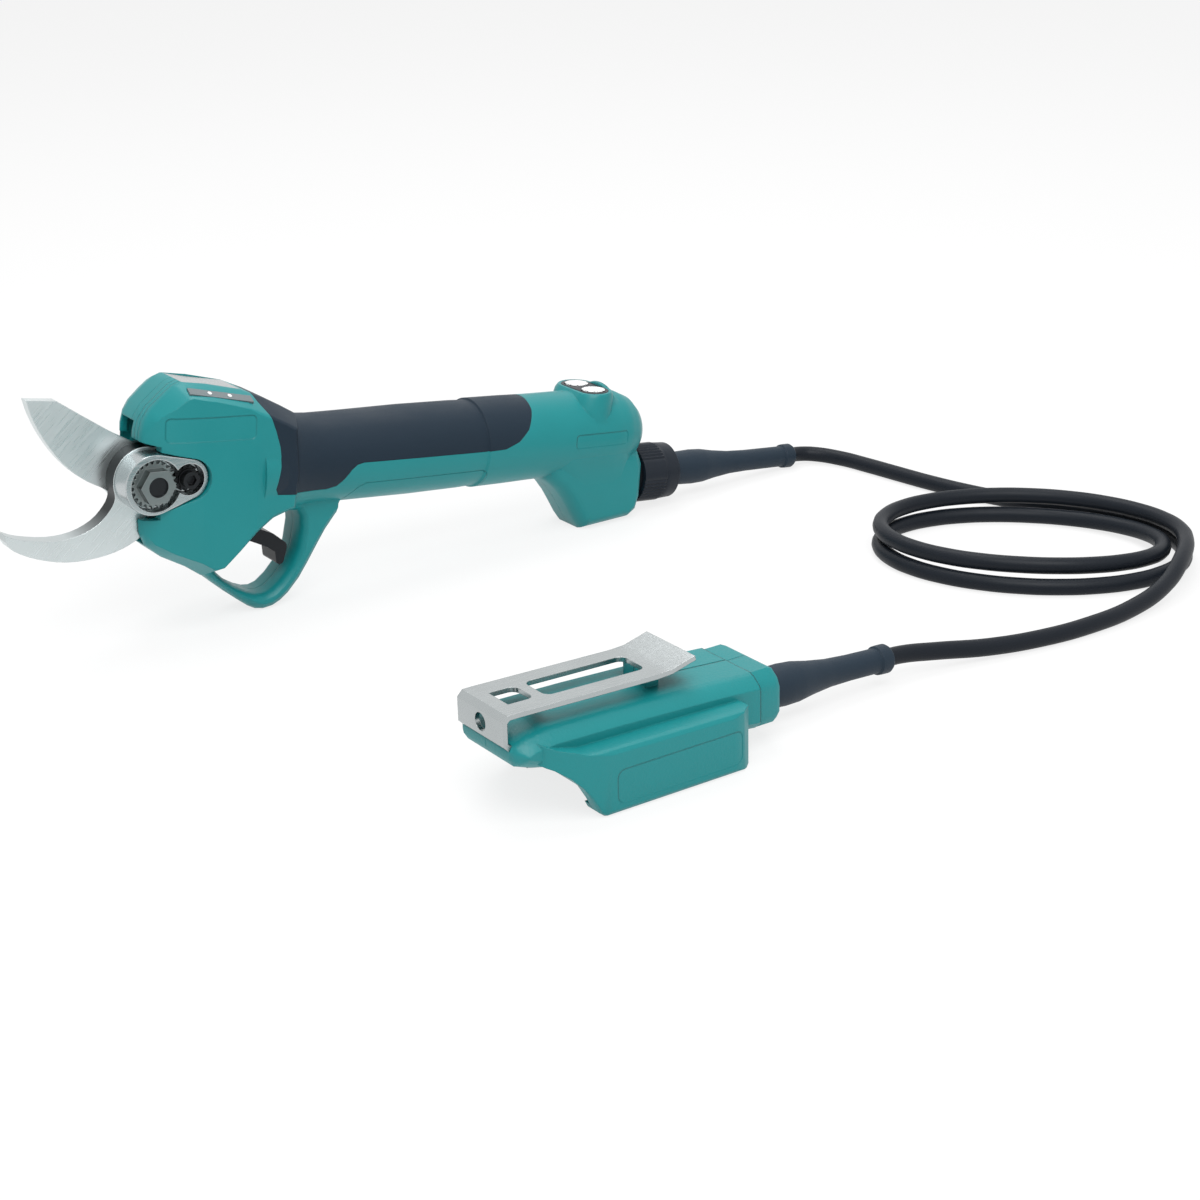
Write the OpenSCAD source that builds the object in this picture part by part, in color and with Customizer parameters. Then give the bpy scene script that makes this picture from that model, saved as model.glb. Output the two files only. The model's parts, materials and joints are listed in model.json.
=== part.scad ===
// Battery electric pruner: hand unit, cord with its coil, and battery adapter with a belt hook.
// Millimetres, +Z up. Origin: under the hand unit's rear foot, on the floor. Blades point to -X.
// Inside the hand unit the sub-parts use tool coordinates: X along the handle from the blade pivot,
// Z up from the handle's axis, Y across (-Y is the user's left side).

/* [Sub-part to draw] */
// Name of one sub-part, or all

/* [Stance] */
// Pitch of the hand unit as it stands on its guard and its rear foot
tool_pitch = 6.6; // [0:0.1:12]
// Tool coordinate of the origin along the handle
foot_x = 218; // [200:1:235]
// Height of the foot's face below the handle's axis
foot_drop = 41.3; // [38:0.1:52]
// Adapter's offset along X from the foot
adapter_x = -171; // [-220:1:-100]
// Adapter's offset across the floor
adapter_y = -220.5; // [-260:1:-150]

/* [Housing] */
// Half width of the head
head_hw = 22; // [18:0.5:26]
// Half width of the rear housing's foot
foot_hw = 14.5; // [13:0.5:17]
// Half width of the trigger guard
guard_hw = 9.5; // [7:0.5:12]
// Wall thickness of the housings
wall = 3.2; // [2:0.1:4]
// Gap at the mid-plane on each side
seam = 0.04; // [0.02:0.01:0.2]
// Thickness of the rubber grip
grip_t = 1.5; // [1:0.1:2.5]
// Gap between the grip and the housing
grip_gap = 0.05; // [0.02:0.01:0.2]
// Gap around the lower cover
cover_gap = 0.12; // [0.05:0.01:0.3]

/* [Blades] */
// Radius of the pivot bolt
pivot_r = 5; // [3:0.1:8]
// Running clearance on shafts and pins
run_gap = 0.05; // [0.02:0.01:0.1]
// Thickness of the moving blade
blade_t = 4.5; // [3:0.1:6]
// Thickness of the counter blade
counter_t = 7; // [4:0.1:9]
// Y of the counter blade's inner face
cut_y = -1; // [-4:0.1:4]
// Gap between the blades
blade_gap = 0.15; // [0.05:0.01:0.3]
// Radius of the drive pin's circle
crank_r = 17; // [12:0.5:20]
// Angle of the drive pin at rest
crank_a = 48; // [40:1:70]
// Radius of the drive pin
drive_pin_r = 2.5; // [1.5:0.1:4]
// Play of the drive pin in its fork
fork_gap = 0.8; // [0.5:0.05:1.5]

/* [Adjuster] */
// Teeth of the pivot nut
nut_teeth = 24; // [16:1:32]
// Teeth of the lock pinion
pinion_teeth = 13; // [9:1:18]
// Distance between nut and pinion
mesh_dist = 14; // [11:0.1:18]
// Angle of the pinion above the handle's axis
mesh_a = 6; // [-20:1:20]
// Width across flats of the pivot nut
nut_af = 13; // [10:0.5:17]

/* [Drive] */
// Radius of the ball screw
screw_r = 4; // [3:0.1:6]
// Radius of the ball nut
ball_nut_r = 7.5; // [6:0.1:9]
// Outer radius of the motor can
motor_r = 15.4; // [12:0.1:15.4]
// Radius of the rotor
rotor_r = 10.2; // [7:0.1:11]
// Radius of the motor shaft
shaft_r = 2.5; // [1.5:0.1:4]
// Outer radius of the screw bearing
bearing_r = 9.5; // [8:0.1:12]

/* [Controls] */
// Trigger width
trigger_w = 12; // [8:0.5:16]
// Travel of the trigger in degrees
trigger_travel = 10; // [4:0.5:11]
// Radius of the trigger's pin
trigger_pin_r = 2; // [1:0.1:3]
// Radius of the two push buttons
button_r = 5; // [3:0.1:6]
// Distance between the buttons
button_pitch = 13; // [11:0.5:16]
// Gap around a button
button_gap = 0.35; // [0.2:0.05:0.6]

/* [Cord] */
// Diameter of the cord
cord_d = 7; // [5:0.1:9]
// Radius of the connector's core
plug_r = 10.5; // [8:0.1:12]
// Outer radius of the ring nut
ring_r = 13.2; // [11:0.1:15]
// Height of the connector's axis below the handle's axis
plug_drop = 22; // [18:0.1:26]
// Length of the tool's strain-relief boot
tool_boot_l = 73; // [50:1:74]
// Length of the adapter's strain-relief boot
boot_l = 64; // [40:1:80]
// Half length of the coil, on the cord's centre line
coil_a = 66; // [50:1:90]
// Half width of the coil
coil_b = 48; // [40:1:80]
// How far a turn spirals inwards
coil_k = 9; // [8:0.5:14]
// Height between the coil's layers
coil_pitch = 7.6; // [7.4:0.1:9]
// Heading of the coil's long axis
coil_turn = -48; // [-90:1:90]

/* [Adapter] */
// Half width of the adapter's skirt
skirt_hw = 29; // [25:0.5:36]
// Half width of the adapter's upper body
body_hw = 20; // [16:0.5:24]
// Half width of the battery channel above its lips
rail_hw = 23; // [20:0.5:26]
// How far each lip reaches inwards
lip = 3; // [2:0.1:5]
// Height of the lips
lip_h = 4; // [2:0.1:6]
// Height of the channel's roof
rail_h = 13; // [10:0.5:16]
// Width of the belt hook
hook_w = 28; // [20:1:36]
// Thickness of the belt hook
hook_t = 1.8; // [1:0.1:3]
// Radius of the round hole in the hook's fold
hook_hole_r = 3.25; // [2:0.05:5]

/* [Hidden] */
$fa = 6;
$fs = 0.6;

blade_y = cut_y + blade_gap;
frame_y = cut_y - counter_t - 0.05;
frame_face = frame_y - 10.4;
pocket_y = frame_y - 4.8;
bolt_head_y = blade_y + blade_t + 0.3;
pin_x = crank_r * cos(crank_a);
pin_z = crank_r * sin(crank_a);
pinion_x = mesh_dist * cos(mesh_a);
pinion_z = mesh_dist * sin(mesh_a);
nut_pitch_r = mesh_dist * nut_teeth / (nut_teeth + pinion_teeth);
pinion_pitch_r = mesh_dist - nut_pitch_r;
core_d = grip_t;
handle_bore = motor_r + 0.15;
trig_x = 38.5;
trig_z = -20.5;
panel_x = 213;
panel_z = 17.9;
panel_tilt = 9;
panel_c = 7;
panel_r = 6.4;
plug_x = 240.8;
ring_l = 12.2;
collar_l = 9;
boot_x = plug_x + ring_l + collar_l + 0.82;
cap_x = 80;
cap_l = 11.5;
boot_z = 13;
boot_tilt = 3.2;

// Side outline of the head, from the chin round the rear to the brow
HEAD = [[-3.2, -16], [-2.8, -21], [-0.4, -26.4], [6.5, -31.8], [17, -37], [24, -41.5], [31, -40.4],
        [39, -33], [46, -26], [52, -21.5], [58, -19.4], [64, -18], [66, 0], [64, 22.2], [57.4, 25.8],
        [49.6, 29.6], [39.9, 33.5], [24.6, 36.8], [14, 38.2], [10.5, 36.8], [6.4, 33.4],
        [1, 28.4], [-1.8, 24], [-3, 19]];
// Half of the head from above: a blunt nose that widens to the full width
HEAD_PLAN = [[-3.6, 2], [-3.6, -9], [-2, -12], [2, -15.4], [8, -18.2], [20, -20.4], [40, -head_hw + 0.3],
             [46, -head_hw - 0.6], [70, -head_hw - 0.6], [70, 2]];
// The guard's lowest point, on the floor
guard_low = floor_z(54);
// Side outline of the guard with its hole filled
GUARD = [[20, -35], [24, -40], [30, -45.4], [36, -50.2], [41.7, -54.6], [47, -58.2], [50.4, -59.8],
         [54, guard_low], [57.6, -59.6], [61.4, -57.6], [65, -54.6], [70, -48.6], [74, -42], [77.6, -35.6],
         [81.5, -29],
         [86, -23], [92, -18.5], [90, -13], [80, -11], [60, -13], [40, -18], [24, -28]];
// Finger opening
HOLE = [[31, -40.4], [32.4, -42.4], [35, -44.8], [40.4, -48.8], [46, -51.8], [50, -53.2], [53.6, -53.4],
        [57, -52.2], [61, -48.8], [66, -42.6], [68.9, -35.6], [70, -27], [69.6, -22.4], [68, -19.8],
        [60, -19], [51.5, -21.4], [46, -25.8], [39, -32.6], [32.6, -38.4]];
// Side outline of the rear housing's foot
FOOT = [[186, -10], [190, -18.6], [195, -22.6], [199.6, -28], [203.4, -33.6], [206.6, -38.6],
        [209.6, floor_z(209.6)], [234, floor_z(234)], [238.8, -36], [240.6, -29], [240.6, -14], [237, -6],
        [195, -6]];
// Region of the rubber grip, seen from the side
GRIP = [[43, 60], [43.6, 34], [44.8, 29.2], [47.5, 23.6], [49.5, 18.5], [51.5, 12], [52, 8.2], [51.8, 4],
        [50.7, -0.5], [49.6, -5], [51, -7.6], [63.6, -8.6], [76, -9], [80.4, -8], [83.4, -5.2], [86.6, -1.2],
        [89, 0.6], [92, 1.2], [120, 0.9], [151, 0.5], [161, 0.8], [168, 3.4], [173.5, 8], [178, 15],
        [181, 26], [181, 60]];
// Region of the lower handle cover, seen from the side
COVER = [[153.6, -40], [154, -11], [153, -9], [151, -8], [94.5, -8], [91, -9.8], [88.6, -13], [86, -17.8],
         [84.6, -40]];
// Handle's outline: position and radius
HANDLE = [[45, 23.6], [50, 23.4], [55, 22.6], [60, 21.2], [65, 19.9], [70, 19.1], [76, 18.7], [90, 18.7],
          [120, 19], [145, 18.7], [152.6, 18.4], [153.2, 19.2], [170, 19], [182, 18.7], [205, 18.6],
          [221, 18.4], [229, 17.2], [235, 14.6], [238.8, 11], [240.4, 7.4], [240.6, 4]];
// Counter blade: hooked nose and the arm to its hub
HOOK_OUT = [[-57.3, -16.4], [-56.6, -19.6], [-53.8, -23.1], [-44.6, -27.3], [-32.3, -30], [-19.8, -29.6],
            [-9.3, -27.1], [-1, -22.6], [5, -16.6], [9.5, -9]];
HOOK_IN = [[-12.9, 3], [-13.4, -1.5], [-12.6, -6.3], [-14.6, -10.9], [-19.8, -16.2], [-28.1, -19.9],
           [-38.4, -20.9], [-50.6, -19], [-57.3, -16.4]];
// Cutting blade: convex edge and straight spine
EDGE = [[-46, 33.5], [-43.6, 26.6], [-39.2, 18.2], [-33.2, 9.9], [-27.1, 3.8], [-20.9, -0.6], [-13.6, -4.4],
        [-9.8, -8.4]];
SPINE = [[9.2, 9.2], [3.5, 11.6], [-2, 13.6], [-10.4, 18], [-22.8, 25.6], [-33.7, 32.4], [-46, 33.5]];
// Adapter's upper body and skirt, seen from the side
BODY = [[-21, 24], [-19.4, 21.4], [-13, 19], [0, 16], [cap_x + 10, 5.9], [cap_x + 10, 28], [60, 30],
        [20, 31.6], [-6, 32.2], [-15, 31.2], [-19.6, 29.4], [-21, 27]];
SKIRT = [[7.6, 0], [68, 0], [70.4, 0.9], [71.3, 3], [71.3, 21.6], [70, 22.8], [40, 23.4], [2, 24.4], [-8, 27],
         [-14, 29.6], [-17.4, 30.2], [-18, 28], [-17, 24.6], [-14.6, 22.4], [-9, 19.8], [-4.4, 16.6],
         [-0.3, 12.2], [2.8, 7], [5.6, 1.6]];
// Half of the skirt from above, with its round nose and rear corner
SKIRT_PLAN = [[-13.5, 2], [-13.5, -17], [-11, -21], [-6, -24.6], [-1, -26.9], [5, -28.4],
              [13, -skirt_hw - 0.4],
              [59, -skirt_hw - 0.4], [66, -skirt_hw + 0.7], [70, -skirt_hw + 3.6],
              [71.8, -skirt_hw + 8], [71.8, 2]];
// Centre line of the belt hook's strip, from its lip to its raised tab
STRIP = [[-12, 28], [-20.6, 28], [-22, 29.4], [-22, 37.4], [-20.4, 39], [-17, 39], [12, 38.2], [40, 37.5],
         [46, 37.8], [56, 40.4]];

// Cord between the tool's boot and the coil, and between the coil and the adapter's boot
coil_c = [120.5, -156];
coil_ex = [cos(coil_turn), sin(coil_turn)];
coil_ey = [-sin(coil_turn), cos(coil_turn)];
function coil_off(s) = s <= 1 ? -coil_k * s : -coil_k * (2 - s);
function smooth(t) = t <= 0 ? 0 : t >= 1 ? 1 : t * t * (3 - 2 * t);
function coil_point(s) = let (a = -360 * s, d = coil_off(s),
    p = coil_c + (coil_a + d) * cos(a) * coil_ex + (coil_b + d) * sin(a) * coil_ey)
    [p[0], p[1], cord_d / 2 + coil_pitch * smooth((s - 0.72) / 0.56)];
coil_n = 48;
COIL = [for (i = [0 : coil_n]) coil_point(2 * i / coil_n)];
boot_end = tool_pt([boot_x + tool_boot_l, 0, -plug_drop]);
boot_dir = [cos(tool_pitch), 0, -sin(tool_pitch)];
adapter_dir = [cos(boot_tilt), 0, -sin(boot_tilt)];
boot_seat = 7.4 * sin(boot_tilt) + 0.02;
adapter_end = [adapter_x + cap_x + cap_l + boot_seat, adapter_y, boot_z] + boot_l * adapter_dir;
coil_in = unit(COIL[1] - COIL[0]);
coil_out = unit(COIL[coil_n] - COIL[coil_n - 1]);
function beside_coil(a, d) = let (u = (coil_a + d) * cos(a), v = (coil_b + d) * sin(a))
    [each coil_c + u * coil_ex + v * coil_ey, cord_d / 2];
LEAD_IN = [boot_end + 0.02 * boot_dir, boot_end + cord_d * boot_dir, [132, -3.6, 4.4], [138.5, -14, 3.7],
           [142, -30, 3.5], [144.5, -48, 3.5], [147.5, -68, 3.5], [152, -88, 3.5], [159, -109, 3.5],
           beside_coil(75, 5), beside_coil(45, 3), beside_coil(20, 1.2), coil_point(0) - cord_d * coil_in,
           coil_point(0) - 0.02 * coil_in];
LEAD_OUT = [coil_point(2) + 0.02 * coil_out, coil_point(2) + cord_d * coil_out, [145, -220, 10],
            [126, -228.6, 6.4], [104, -233, 4], [79, -234.5, 3.5], [54, -232.5, 3.6], [30, -228, 4.6],
            [8, -222.8, 7], adapter_end + cord_d * adapter_dir, adapter_end + 0.02 * adapter_dir];
// Smooth route with straight ends, kept off the floor
function route(p) = let (m = len(p) - 1, q = concat([p[0]], curve([for (i = [1 : m - 1]) p[i]], 3), [p[m]]))
    [for (v = q) [v[0], v[1], max(v[2], cord_d / 2)]];

function tool_pt(p) = let (x = p[0] - foot_x, z = p[2] + foot_drop, c = cos(tool_pitch),
    s = sin(tool_pitch)) [x * c + z * s, p[1], z * c - x * s];
// Height of the floor below the handle's axis, in tool coordinates
function floor_z(x) = -foot_drop + (x - foot_x) * tan(tool_pitch);
function unit(v) = v / norm(v);
function mitre(p, i, d) = let (n = len(p), e1 = unit(p[i] - p[(i + n - 1) % n]),
    e2 = unit(p[(i + 1) % n] - p[i]), n1 = [-e1[1], e1[0]], n2 = [-e2[1], e2[0]])
    p[i] + (n1 + n2) * (d / max(0.6, 1 + n1 * n2));
function inset(p, d) = [for (i = [0 : len(p) - 1]) mitre(p, i, d)];
function cr(a, b, c, d, t) = 0.5 * (2 * b + (c - a) * t + (2 * a - 5 * b + 4 * c - d) * t * t
    + (3 * b - a - 3 * c + d) * t * t * t);
function curve(p, n) = let (m = len(p) - 1) [for (i = [0 : m - 1], j = [0 : n - 1])
    cr(i == 0 ? 2 * p[0] - p[1] : p[i - 1], p[i], p[i + 1],
       i == m - 1 ? 2 * p[m] - p[m - 1] : p[i + 2], j / n), p[m]];

// Solid from a side outline: layers of [y, inset], from low y to high y
module pillow(p, layers) {
    n = len(p);
    m = len(layers);
    pts = [for (l = layers) each [for (q = inset(p, l[1])) [q[0], l[0], q[1]]]];
    sides = [for (j = [0 : m - 2], i = [0 : n - 1]) let (a = j * n + i, b = j * n + (i + 1) % n)
        each [[a, b, b + n], [a, b + n, a + n]]];
    low = [[for (i = [n - 1 : -1 : 0]) i]];
    high = [[for (i = [0 : n - 1]) (m - 1) * n + i]];
    polyhedron(pts, concat(low, sides, high));
}
// Prism of a side outline between two values of y
module slab(p, y0, y1) {
    translate([0, y1, 0]) rotate([90, 0, 0]) linear_extrude(y1 - y0) polygon(p);
}
module slab2(y0, y1) {
    translate([0, y1, 0]) rotate([90, 0, 0]) linear_extrude(y1 - y0) children();
}
// Round bar along X, from x0 to x1
module bar(x0, x1, r) {
    translate([x0, 0, 0]) rotate([0, 90, 0]) cylinder(h = x1 - x0, r = r);
}
// Round bar along Y, from y0 to y1
module pin(x, z, y0, y1, r) {
    translate([x, y1, z]) rotate([90, 0, 0]) cylinder(h = y1 - y0, r = r);
}
// Revolve about X of [x, r] points down to the axis
module turned(p) {
    n = len(p);
    rotate([0, 90, 0]) rotate_extrude() polygon(concat([for (q = p) [q[1], q[0]]],
        [[0, p[n - 1][0]], [0, p[0][0]]]));
}
// Tube swept through points, with n sides
module tube(p, r, n, up = [0, 0, 1]) {
    m = len(p);
    pts = [for (i = [0 : m - 1]) let (t = unit(p[min(m - 1, i + 1)] - p[max(0, i - 1)]),
        s = unit(cross(t, up)), u = cross(s, t))
        each [for (k = [0 : n - 1]) p[i] + r * (cos(360 * k / n) * s + sin(360 * k / n) * u)]];
    sides = [for (j = [0 : m - 2], k = [0 : n - 1]) let (a = j * n + k, b = j * n + (k + 1) % n)
        each [[a, b, b + n], [a, b + n, a + n]]];
    first = [[for (k = [n - 1 : -1 : 0]) k]];
    last = [[for (k = [0 : n - 1]) (m - 1) * n + k]];
    polyhedron(pts, concat(first, sides, last));
}
module tool() {
    rotate([0, tool_pitch, 0]) translate([-foot_x, 0, foot_drop]) children();
}
module adapter() {
    translate([adapter_x, adapter_y, 0]) children();
}
module panel() {
    translate([panel_x, 0, panel_z]) rotate([0, panel_tilt, 0]) children();
}

// Housing of the hand unit, left half (-Y); the right half is its mirror image
HEAD_LAYERS = [[-head_hw, 6.2], [-head_hw + 0.9, 5], [-head_hw + 11.5, 0.4], [-head_hw + 13, 0], [1, 0]];
FOOT_LAYERS = [[-foot_hw, 5.4], [-foot_hw + 1.1, 3.4], [-foot_hw + 3, 1.7], [-foot_hw + 5.4, 0.6],
               [-foot_hw + 7.6, 0], [1.5, 0]];
GUARD_LAYERS = [[-guard_hw, 2.8], [-guard_hw + 1.2, 1], [-guard_hw + 3.4, 0], [2, 0]];
HOLE_LAYERS = [[-guard_hw - 14, -2.6], [-guard_hw - 0.1, -2.6], [-guard_hw + 1.2, -1], [-guard_hw + 3.4, 0],
               [4, 0]];
module handle_core(d) {
    turned([for (q = HANDLE) [q[0], q[1] - d]]);
}
// The other side of the mid-plane, which every half is cut by
module other_half() {
    translate([-100, -seam, -120]) cube([400, 60, 240]);
}
// Upright prism of a shape seen from above
module upright(p) {
    translate([0, 0, -60]) linear_extrude(120) polygon(p);
}
module outer_half() {
    intersection() {
        pillow(HEAD, HEAD_LAYERS);
        upright(HEAD_PLAN);
    }
    turned(HANDLE);
}
// Two circles and the strip between their outer tangents, set in a hair so that its edges cross the circles
module link(a, ra, b, rb) {
    u = unit(b - a);
    k = (ra - rb) / norm(b - a);
    t = 0.998;
    n1 = u * k + [-u[1], u[0]] * sqrt(1 - k * k);
    n2 = u * k - [-u[1], u[0]] * sqrt(1 - k * k);
    translate(a) circle(ra);
    translate(b) circle(rb);
    polygon([a + t * ra * n2, b + t * rb * n2, b + t * rb * n1, a + t * ra * n1]);
}
module egg(d) {
    link([-0.8, 0.4], 12.2 + d, [pinion_x, pinion_z], 8.2 + d);
}
// Front opening for the blades, seen from the side
MOUTH = [[-30, 40], [-12, 23], [-4, 16], [3, 14.6], [3, -14.6], [-4, -15.6], [-12, -19], [-30, -30]];
// Slots at the mid-plane for the moving blade with its fork, and for the counter blade's root
BLADE_SLOT = [[-30, 46], [-12, 26], [-9, 23], [4, 22], [4, -8], [-30, -30]];
ROOT_SLOT = [[-30, -44], [-10, -31], [1, -26], [8, -19.5], [14, -9], [14, 4], [-14, 4], [-30, -10]];
// Screw bosses: position, depth and seat of the screw's head
BOSS = [[15, 28, head_hw - 5.6, 13], [13, -26.4, head_hw - 5.6, 13], [191, 3.6, HANDLE[14][1] - 2.6, 13],
        [224, -34.6, foot_hw - 5, 8.6], [211, -33.4, foot_hw - 5, 8.6]];
module screw_holes(egg_side) {
    for (b = BOSS) {
        if (egg_side) pin(b[0], b[1], -b[3] + 1.4, 1, 1.5);
        if (!egg_side) pin(b[0], b[1], -40, 1, 1.7);
        if (!egg_side) pin(b[0], b[1], -40, -b[3], 3.2);
    }
}
module indicator() {
    translate([28, -15.5, 33.4]) rotate([0, 10.6, 0]) rotate([23.5, 0, 0]) children();
}
module top_frame() {
    translate([27.4, 0, 35.75]) rotate([0, 10.1, 0]) children();
}
module top_pocket() {
    top_frame() translate([-13.05, -8.55, -1.05]) cube([26.1, 17.1, 8]);
}
module oval(d) {
    link([0, -panel_c], panel_r + d, [0, panel_c], panel_r + d);
}
module panel_pocket() {
    translate([0, 0, -2.45]) linear_extrude(12) oval(0.05);
}
// Raised pad under the control panel, and the room for the buttons' flanges
PAD = [for (a = [0 : 15 : 345]) [panel_r * cos(a), panel_r * sin(a) + (sin(a) >= 0 ? panel_c : -panel_c)]];
module panel_pad() {
    rotate([90, 0, 0]) pillow(PAD, [[-16, -3], [-6, -3.2], [-1.4, -2.4], [0.3, -1.4]]);
}
module button_room() {
    translate([0, 0, -12]) linear_extrude(10) link([0, -button_pitch / 2], button_r + 1,
        [0, button_pitch / 2], button_r + 1);
}
// Centres and radii along the trigger, from its pin to its tip
TRIGGER = [[[trig_x, trig_z], 4.4], [[48.5, -28], 3], [[56.5, -31.4], 3], [[61.6, -35], 2.8],
           [[61.4, -40.4], 1.8]];
module trigger_shape() {
    for (i = [0 : 3]) link(TRIGGER[i][0], TRIGGER[i][1], TRIGGER[i + 1][0], TRIGGER[i + 1][1]);
}
// Room for the trigger's root over its travel
module trigger_room() {
    for (a = [0, trigger_travel]) translate([trig_x, trig_z]) rotate(a)
        link([0, 0], TRIGGER[0][1] + 0.5, 1.5 * (TRIGGER[1][0] - TRIGGER[0][0]), TRIGGER[0][1] + 0.5);
}
REAR_ROOM = [for (q = HANDLE) if (q[0] >= 182 && q[0] < 238) [q[0] - 2, q[1] - wall - 0.2]];
module half_shell(egg_side) {
    difference() {
        union() {
            difference() {
                union() {
                    outer_half();
                    difference() {
                        pillow(GUARD, GUARD_LAYERS);
                        pillow(HOLE, HOLE_LAYERS);
                    }
                    pillow(FOOT, FOOT_LAYERS);
                    panel() panel_pad();
                }
                difference() {
                    slab(GRIP, -40, 40);
                    handle_core(core_d);
                }
                slab(inset(HEAD, wall), -head_hw + 11, 5);
                intersection() {
                    slab(inset(HEAD, 7.8), -head_hw + wall, -head_hw + 11.2);
                    upright(inset(HEAD_PLAN, wall));
                }
                bar(50, 186, handle_bore);
                turned(REAR_ROOM);
                slab(inset(FOOT, wall), -foot_hw + 6.2, 5);
                slab(inset(FOOT, wall + 2.8), -foot_hw + wall, -foot_hw + 6.4);
            }
            pin(trig_x, trig_z, -head_hw + 2, egg_side ? -trigger_w / 2 - 0.4 : -11.6, 4.4);
            for (b = BOSS) pin(b[0], b[1], -b[2], 3, 4.4);
        }
        other_half();
        slab(inset(COVER, -cover_gap), -40, 1);
        slab(MOUTH, egg_side ? -40 : -12.4, 1);
        slab(BLADE_SLOT, egg_side ? -1.6 : -9.2, 1);
        if (egg_side) slab(ROOT_SLOT, frame_y - 0.3, 1);
        if (egg_side) slab2(-40, 1) egg(0.4);
        if (!egg_side) pin(0, 0, -40, 1, 8.4);
        slab2(-trigger_w / 2 - 0.4, 1) trigger_room();
        pin(trig_x, trig_z, -trigger_w, 1, trigger_pin_r + 0.02);
        translate([0, 0, -plug_drop]) bar(plug_x - 14, plug_x + 20, plug_r + 0.05);
        panel() panel_pocket();
        panel() button_room();
        top_pocket();
        if (egg_side) indicator() cube([28.1, 4.3, 3], center = true);
        screw_holes(egg_side);
    }
}
module left_housing() {
    color([0.0, 0.45, 0.47]) tool() half_shell(true);
}
module right_housing() {
    color([0.0, 0.45, 0.47]) tool() mirror([0, 1, 0]) half_shell(false);
}
module grip_half() {
    difference() {
        intersection() {
            outer_half();
            slab(inset(GRIP, grip_gap), -40, 40);
        }
        handle_core(core_d - grip_gap);
        slab(inset(HEAD, wall), -head_hw + 11, 5);
        other_half();
    }
}
module left_grip() {
    color([0.07, 0.09, 0.12]) tool() grip_half();
}
module right_grip() {
    color([0.07, 0.09, 0.12]) tool() mirror([0, 1, 0]) grip_half();
}
module lower_cover() {
    color([0.0, 0.45, 0.47]) tool() difference() {
        intersection() {
            turned(HANDLE);
            slab(COVER, -40, 40);
        }
        bar(50, 186, handle_bore);
        slab(GRIP, -40, 40);
    }
}
module housing_screws() {
    color([0.3, 0.31, 0.33]) tool() for (b = BOSS) difference() {
        union() {
            pin(b[0], b[1], -b[3] + 2, b[3] + 0.02, 1.45);
            pin(b[0], b[1], b[3] + 0.02, b[3] + 2.2, 2.9);
        }
        pin(b[0], b[1], b[3] + 1, b[3] + 3, 1.2);
    }
}

// Blade pack and its adjuster
module blade_frame() {
    color([0.72, 0.73, 0.74]) tool() difference() {
        union() {
            slab2(frame_face, frame_y) egg(0);
            translate([4, frame_y - 4.3, -8]) cube([62, 4, 16]);
            bar(62, 71, handle_bore - 0.05);
        }
        pin(0, 0, -40, 0, pivot_r + run_gap);
        slab2(frame_face - 1, pocket_y) {
            circle(nut_pitch_r + 1.3);
            translate([pinion_x, pinion_z]) circle(pinion_pitch_r + 1.3);
        }
        pin(pinion_x, pinion_z, frame_face - 1, frame_y - 0.6, 2.02);
        bar(60, 72, bearing_r + 0.02);
    }
}
module counter_blade() {
    color([0.78, 0.79, 0.8]) tool() difference() {
        slab2(cut_y - counter_t, cut_y) {
            polygon(concat(curve(HOOK_OUT, 3), [[10.5, 3], [2, 11]],
                [for (i = [0 : 3 * len(HOOK_IN) - 4]) curve(HOOK_IN, 3)[i]]));
            circle(13.4);
        }
        pin(0, 0, -40, 40, pivot_r + 0.02);
    }
}
module cutting_blade() {
    color([0.8, 0.81, 0.82]) tool() difference() {
        slab2(blade_y, blade_y + blade_t) {
            polygon(concat(curve(EDGE, 3), [[0, -10], [8, -6]], [for (i = [0 : len(SPINE) - 2]) SPINE[i]]));
            circle(13);
            link([0, 0], 9, [pin_x, pin_z], 5);
        }
        pin(0, 0, -40, 40, pivot_r + run_gap);
        pin(pin_x, pin_z, -40, 40, drive_pin_r + 0.01);
    }
}
module drive_pin() {
    color([0.55, 0.56, 0.58]) tool() pin(pin_x, pin_z, blade_y, 9, drive_pin_r);
}
module pivot_bolt() {
    color([0.2, 0.21, 0.22]) tool() difference() {
        union() {
            pin(0, 0, pocket_y, bolt_head_y, pivot_r);
            pin(0, 0, frame_face - 1, pocket_y, 4);
            pin(0, 0, bolt_head_y, 17, 7.6);
        }
        translate([0, 18, 0]) rotate([90, 0, 0]) cylinder(h = 5, r = 4.6, $fn = 6);
    }
}
// One tooth: share of the pitch angle and height over the pitch circle
TOOTH = [[-0.32, -0.75], [-0.12, 0.55], [0.12, 0.55], [0.32, -0.75]];
function tooth_ring(n, rp, a0) = [for (i = [0 : n - 1], q = TOOTH)
    let (a = a0 + (i + q[0]) * 360 / n) (rp + q[1]) * [cos(a), sin(a)]];
module toothed_nut() {
    color([0.35, 0.37, 0.37]) tool() difference() {
        union() {
            slab(tooth_ring(nut_teeth, nut_pitch_r, mesh_a + 180 / nut_teeth), pocket_y - 3.2,
                 pocket_y - 0.1);
            translate([0, pocket_y - 3.2, 0]) rotate([90, 0, 0])
                cylinder(h = 4.4, r = nut_af / 2 / cos(30), $fn = 6);
        }
        pin(0, 0, -40, 0, 4 + 0.02);
    }
}
module lock_pinion() {
    color([0.1, 0.1, 0.11]) tool() translate([pinion_x, 0, pinion_z]) difference() {
        union() {
            slab(tooth_ring(pinion_teeth, pinion_pitch_r, mesh_a + 180), pocket_y - 3.2, pocket_y - 0.1);
            pin(0, 0, pocket_y - 4.4, pocket_y - 3.2, 4);
        }
        pin(0, 0, -40, 0, 2.02);
    }
}
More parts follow.
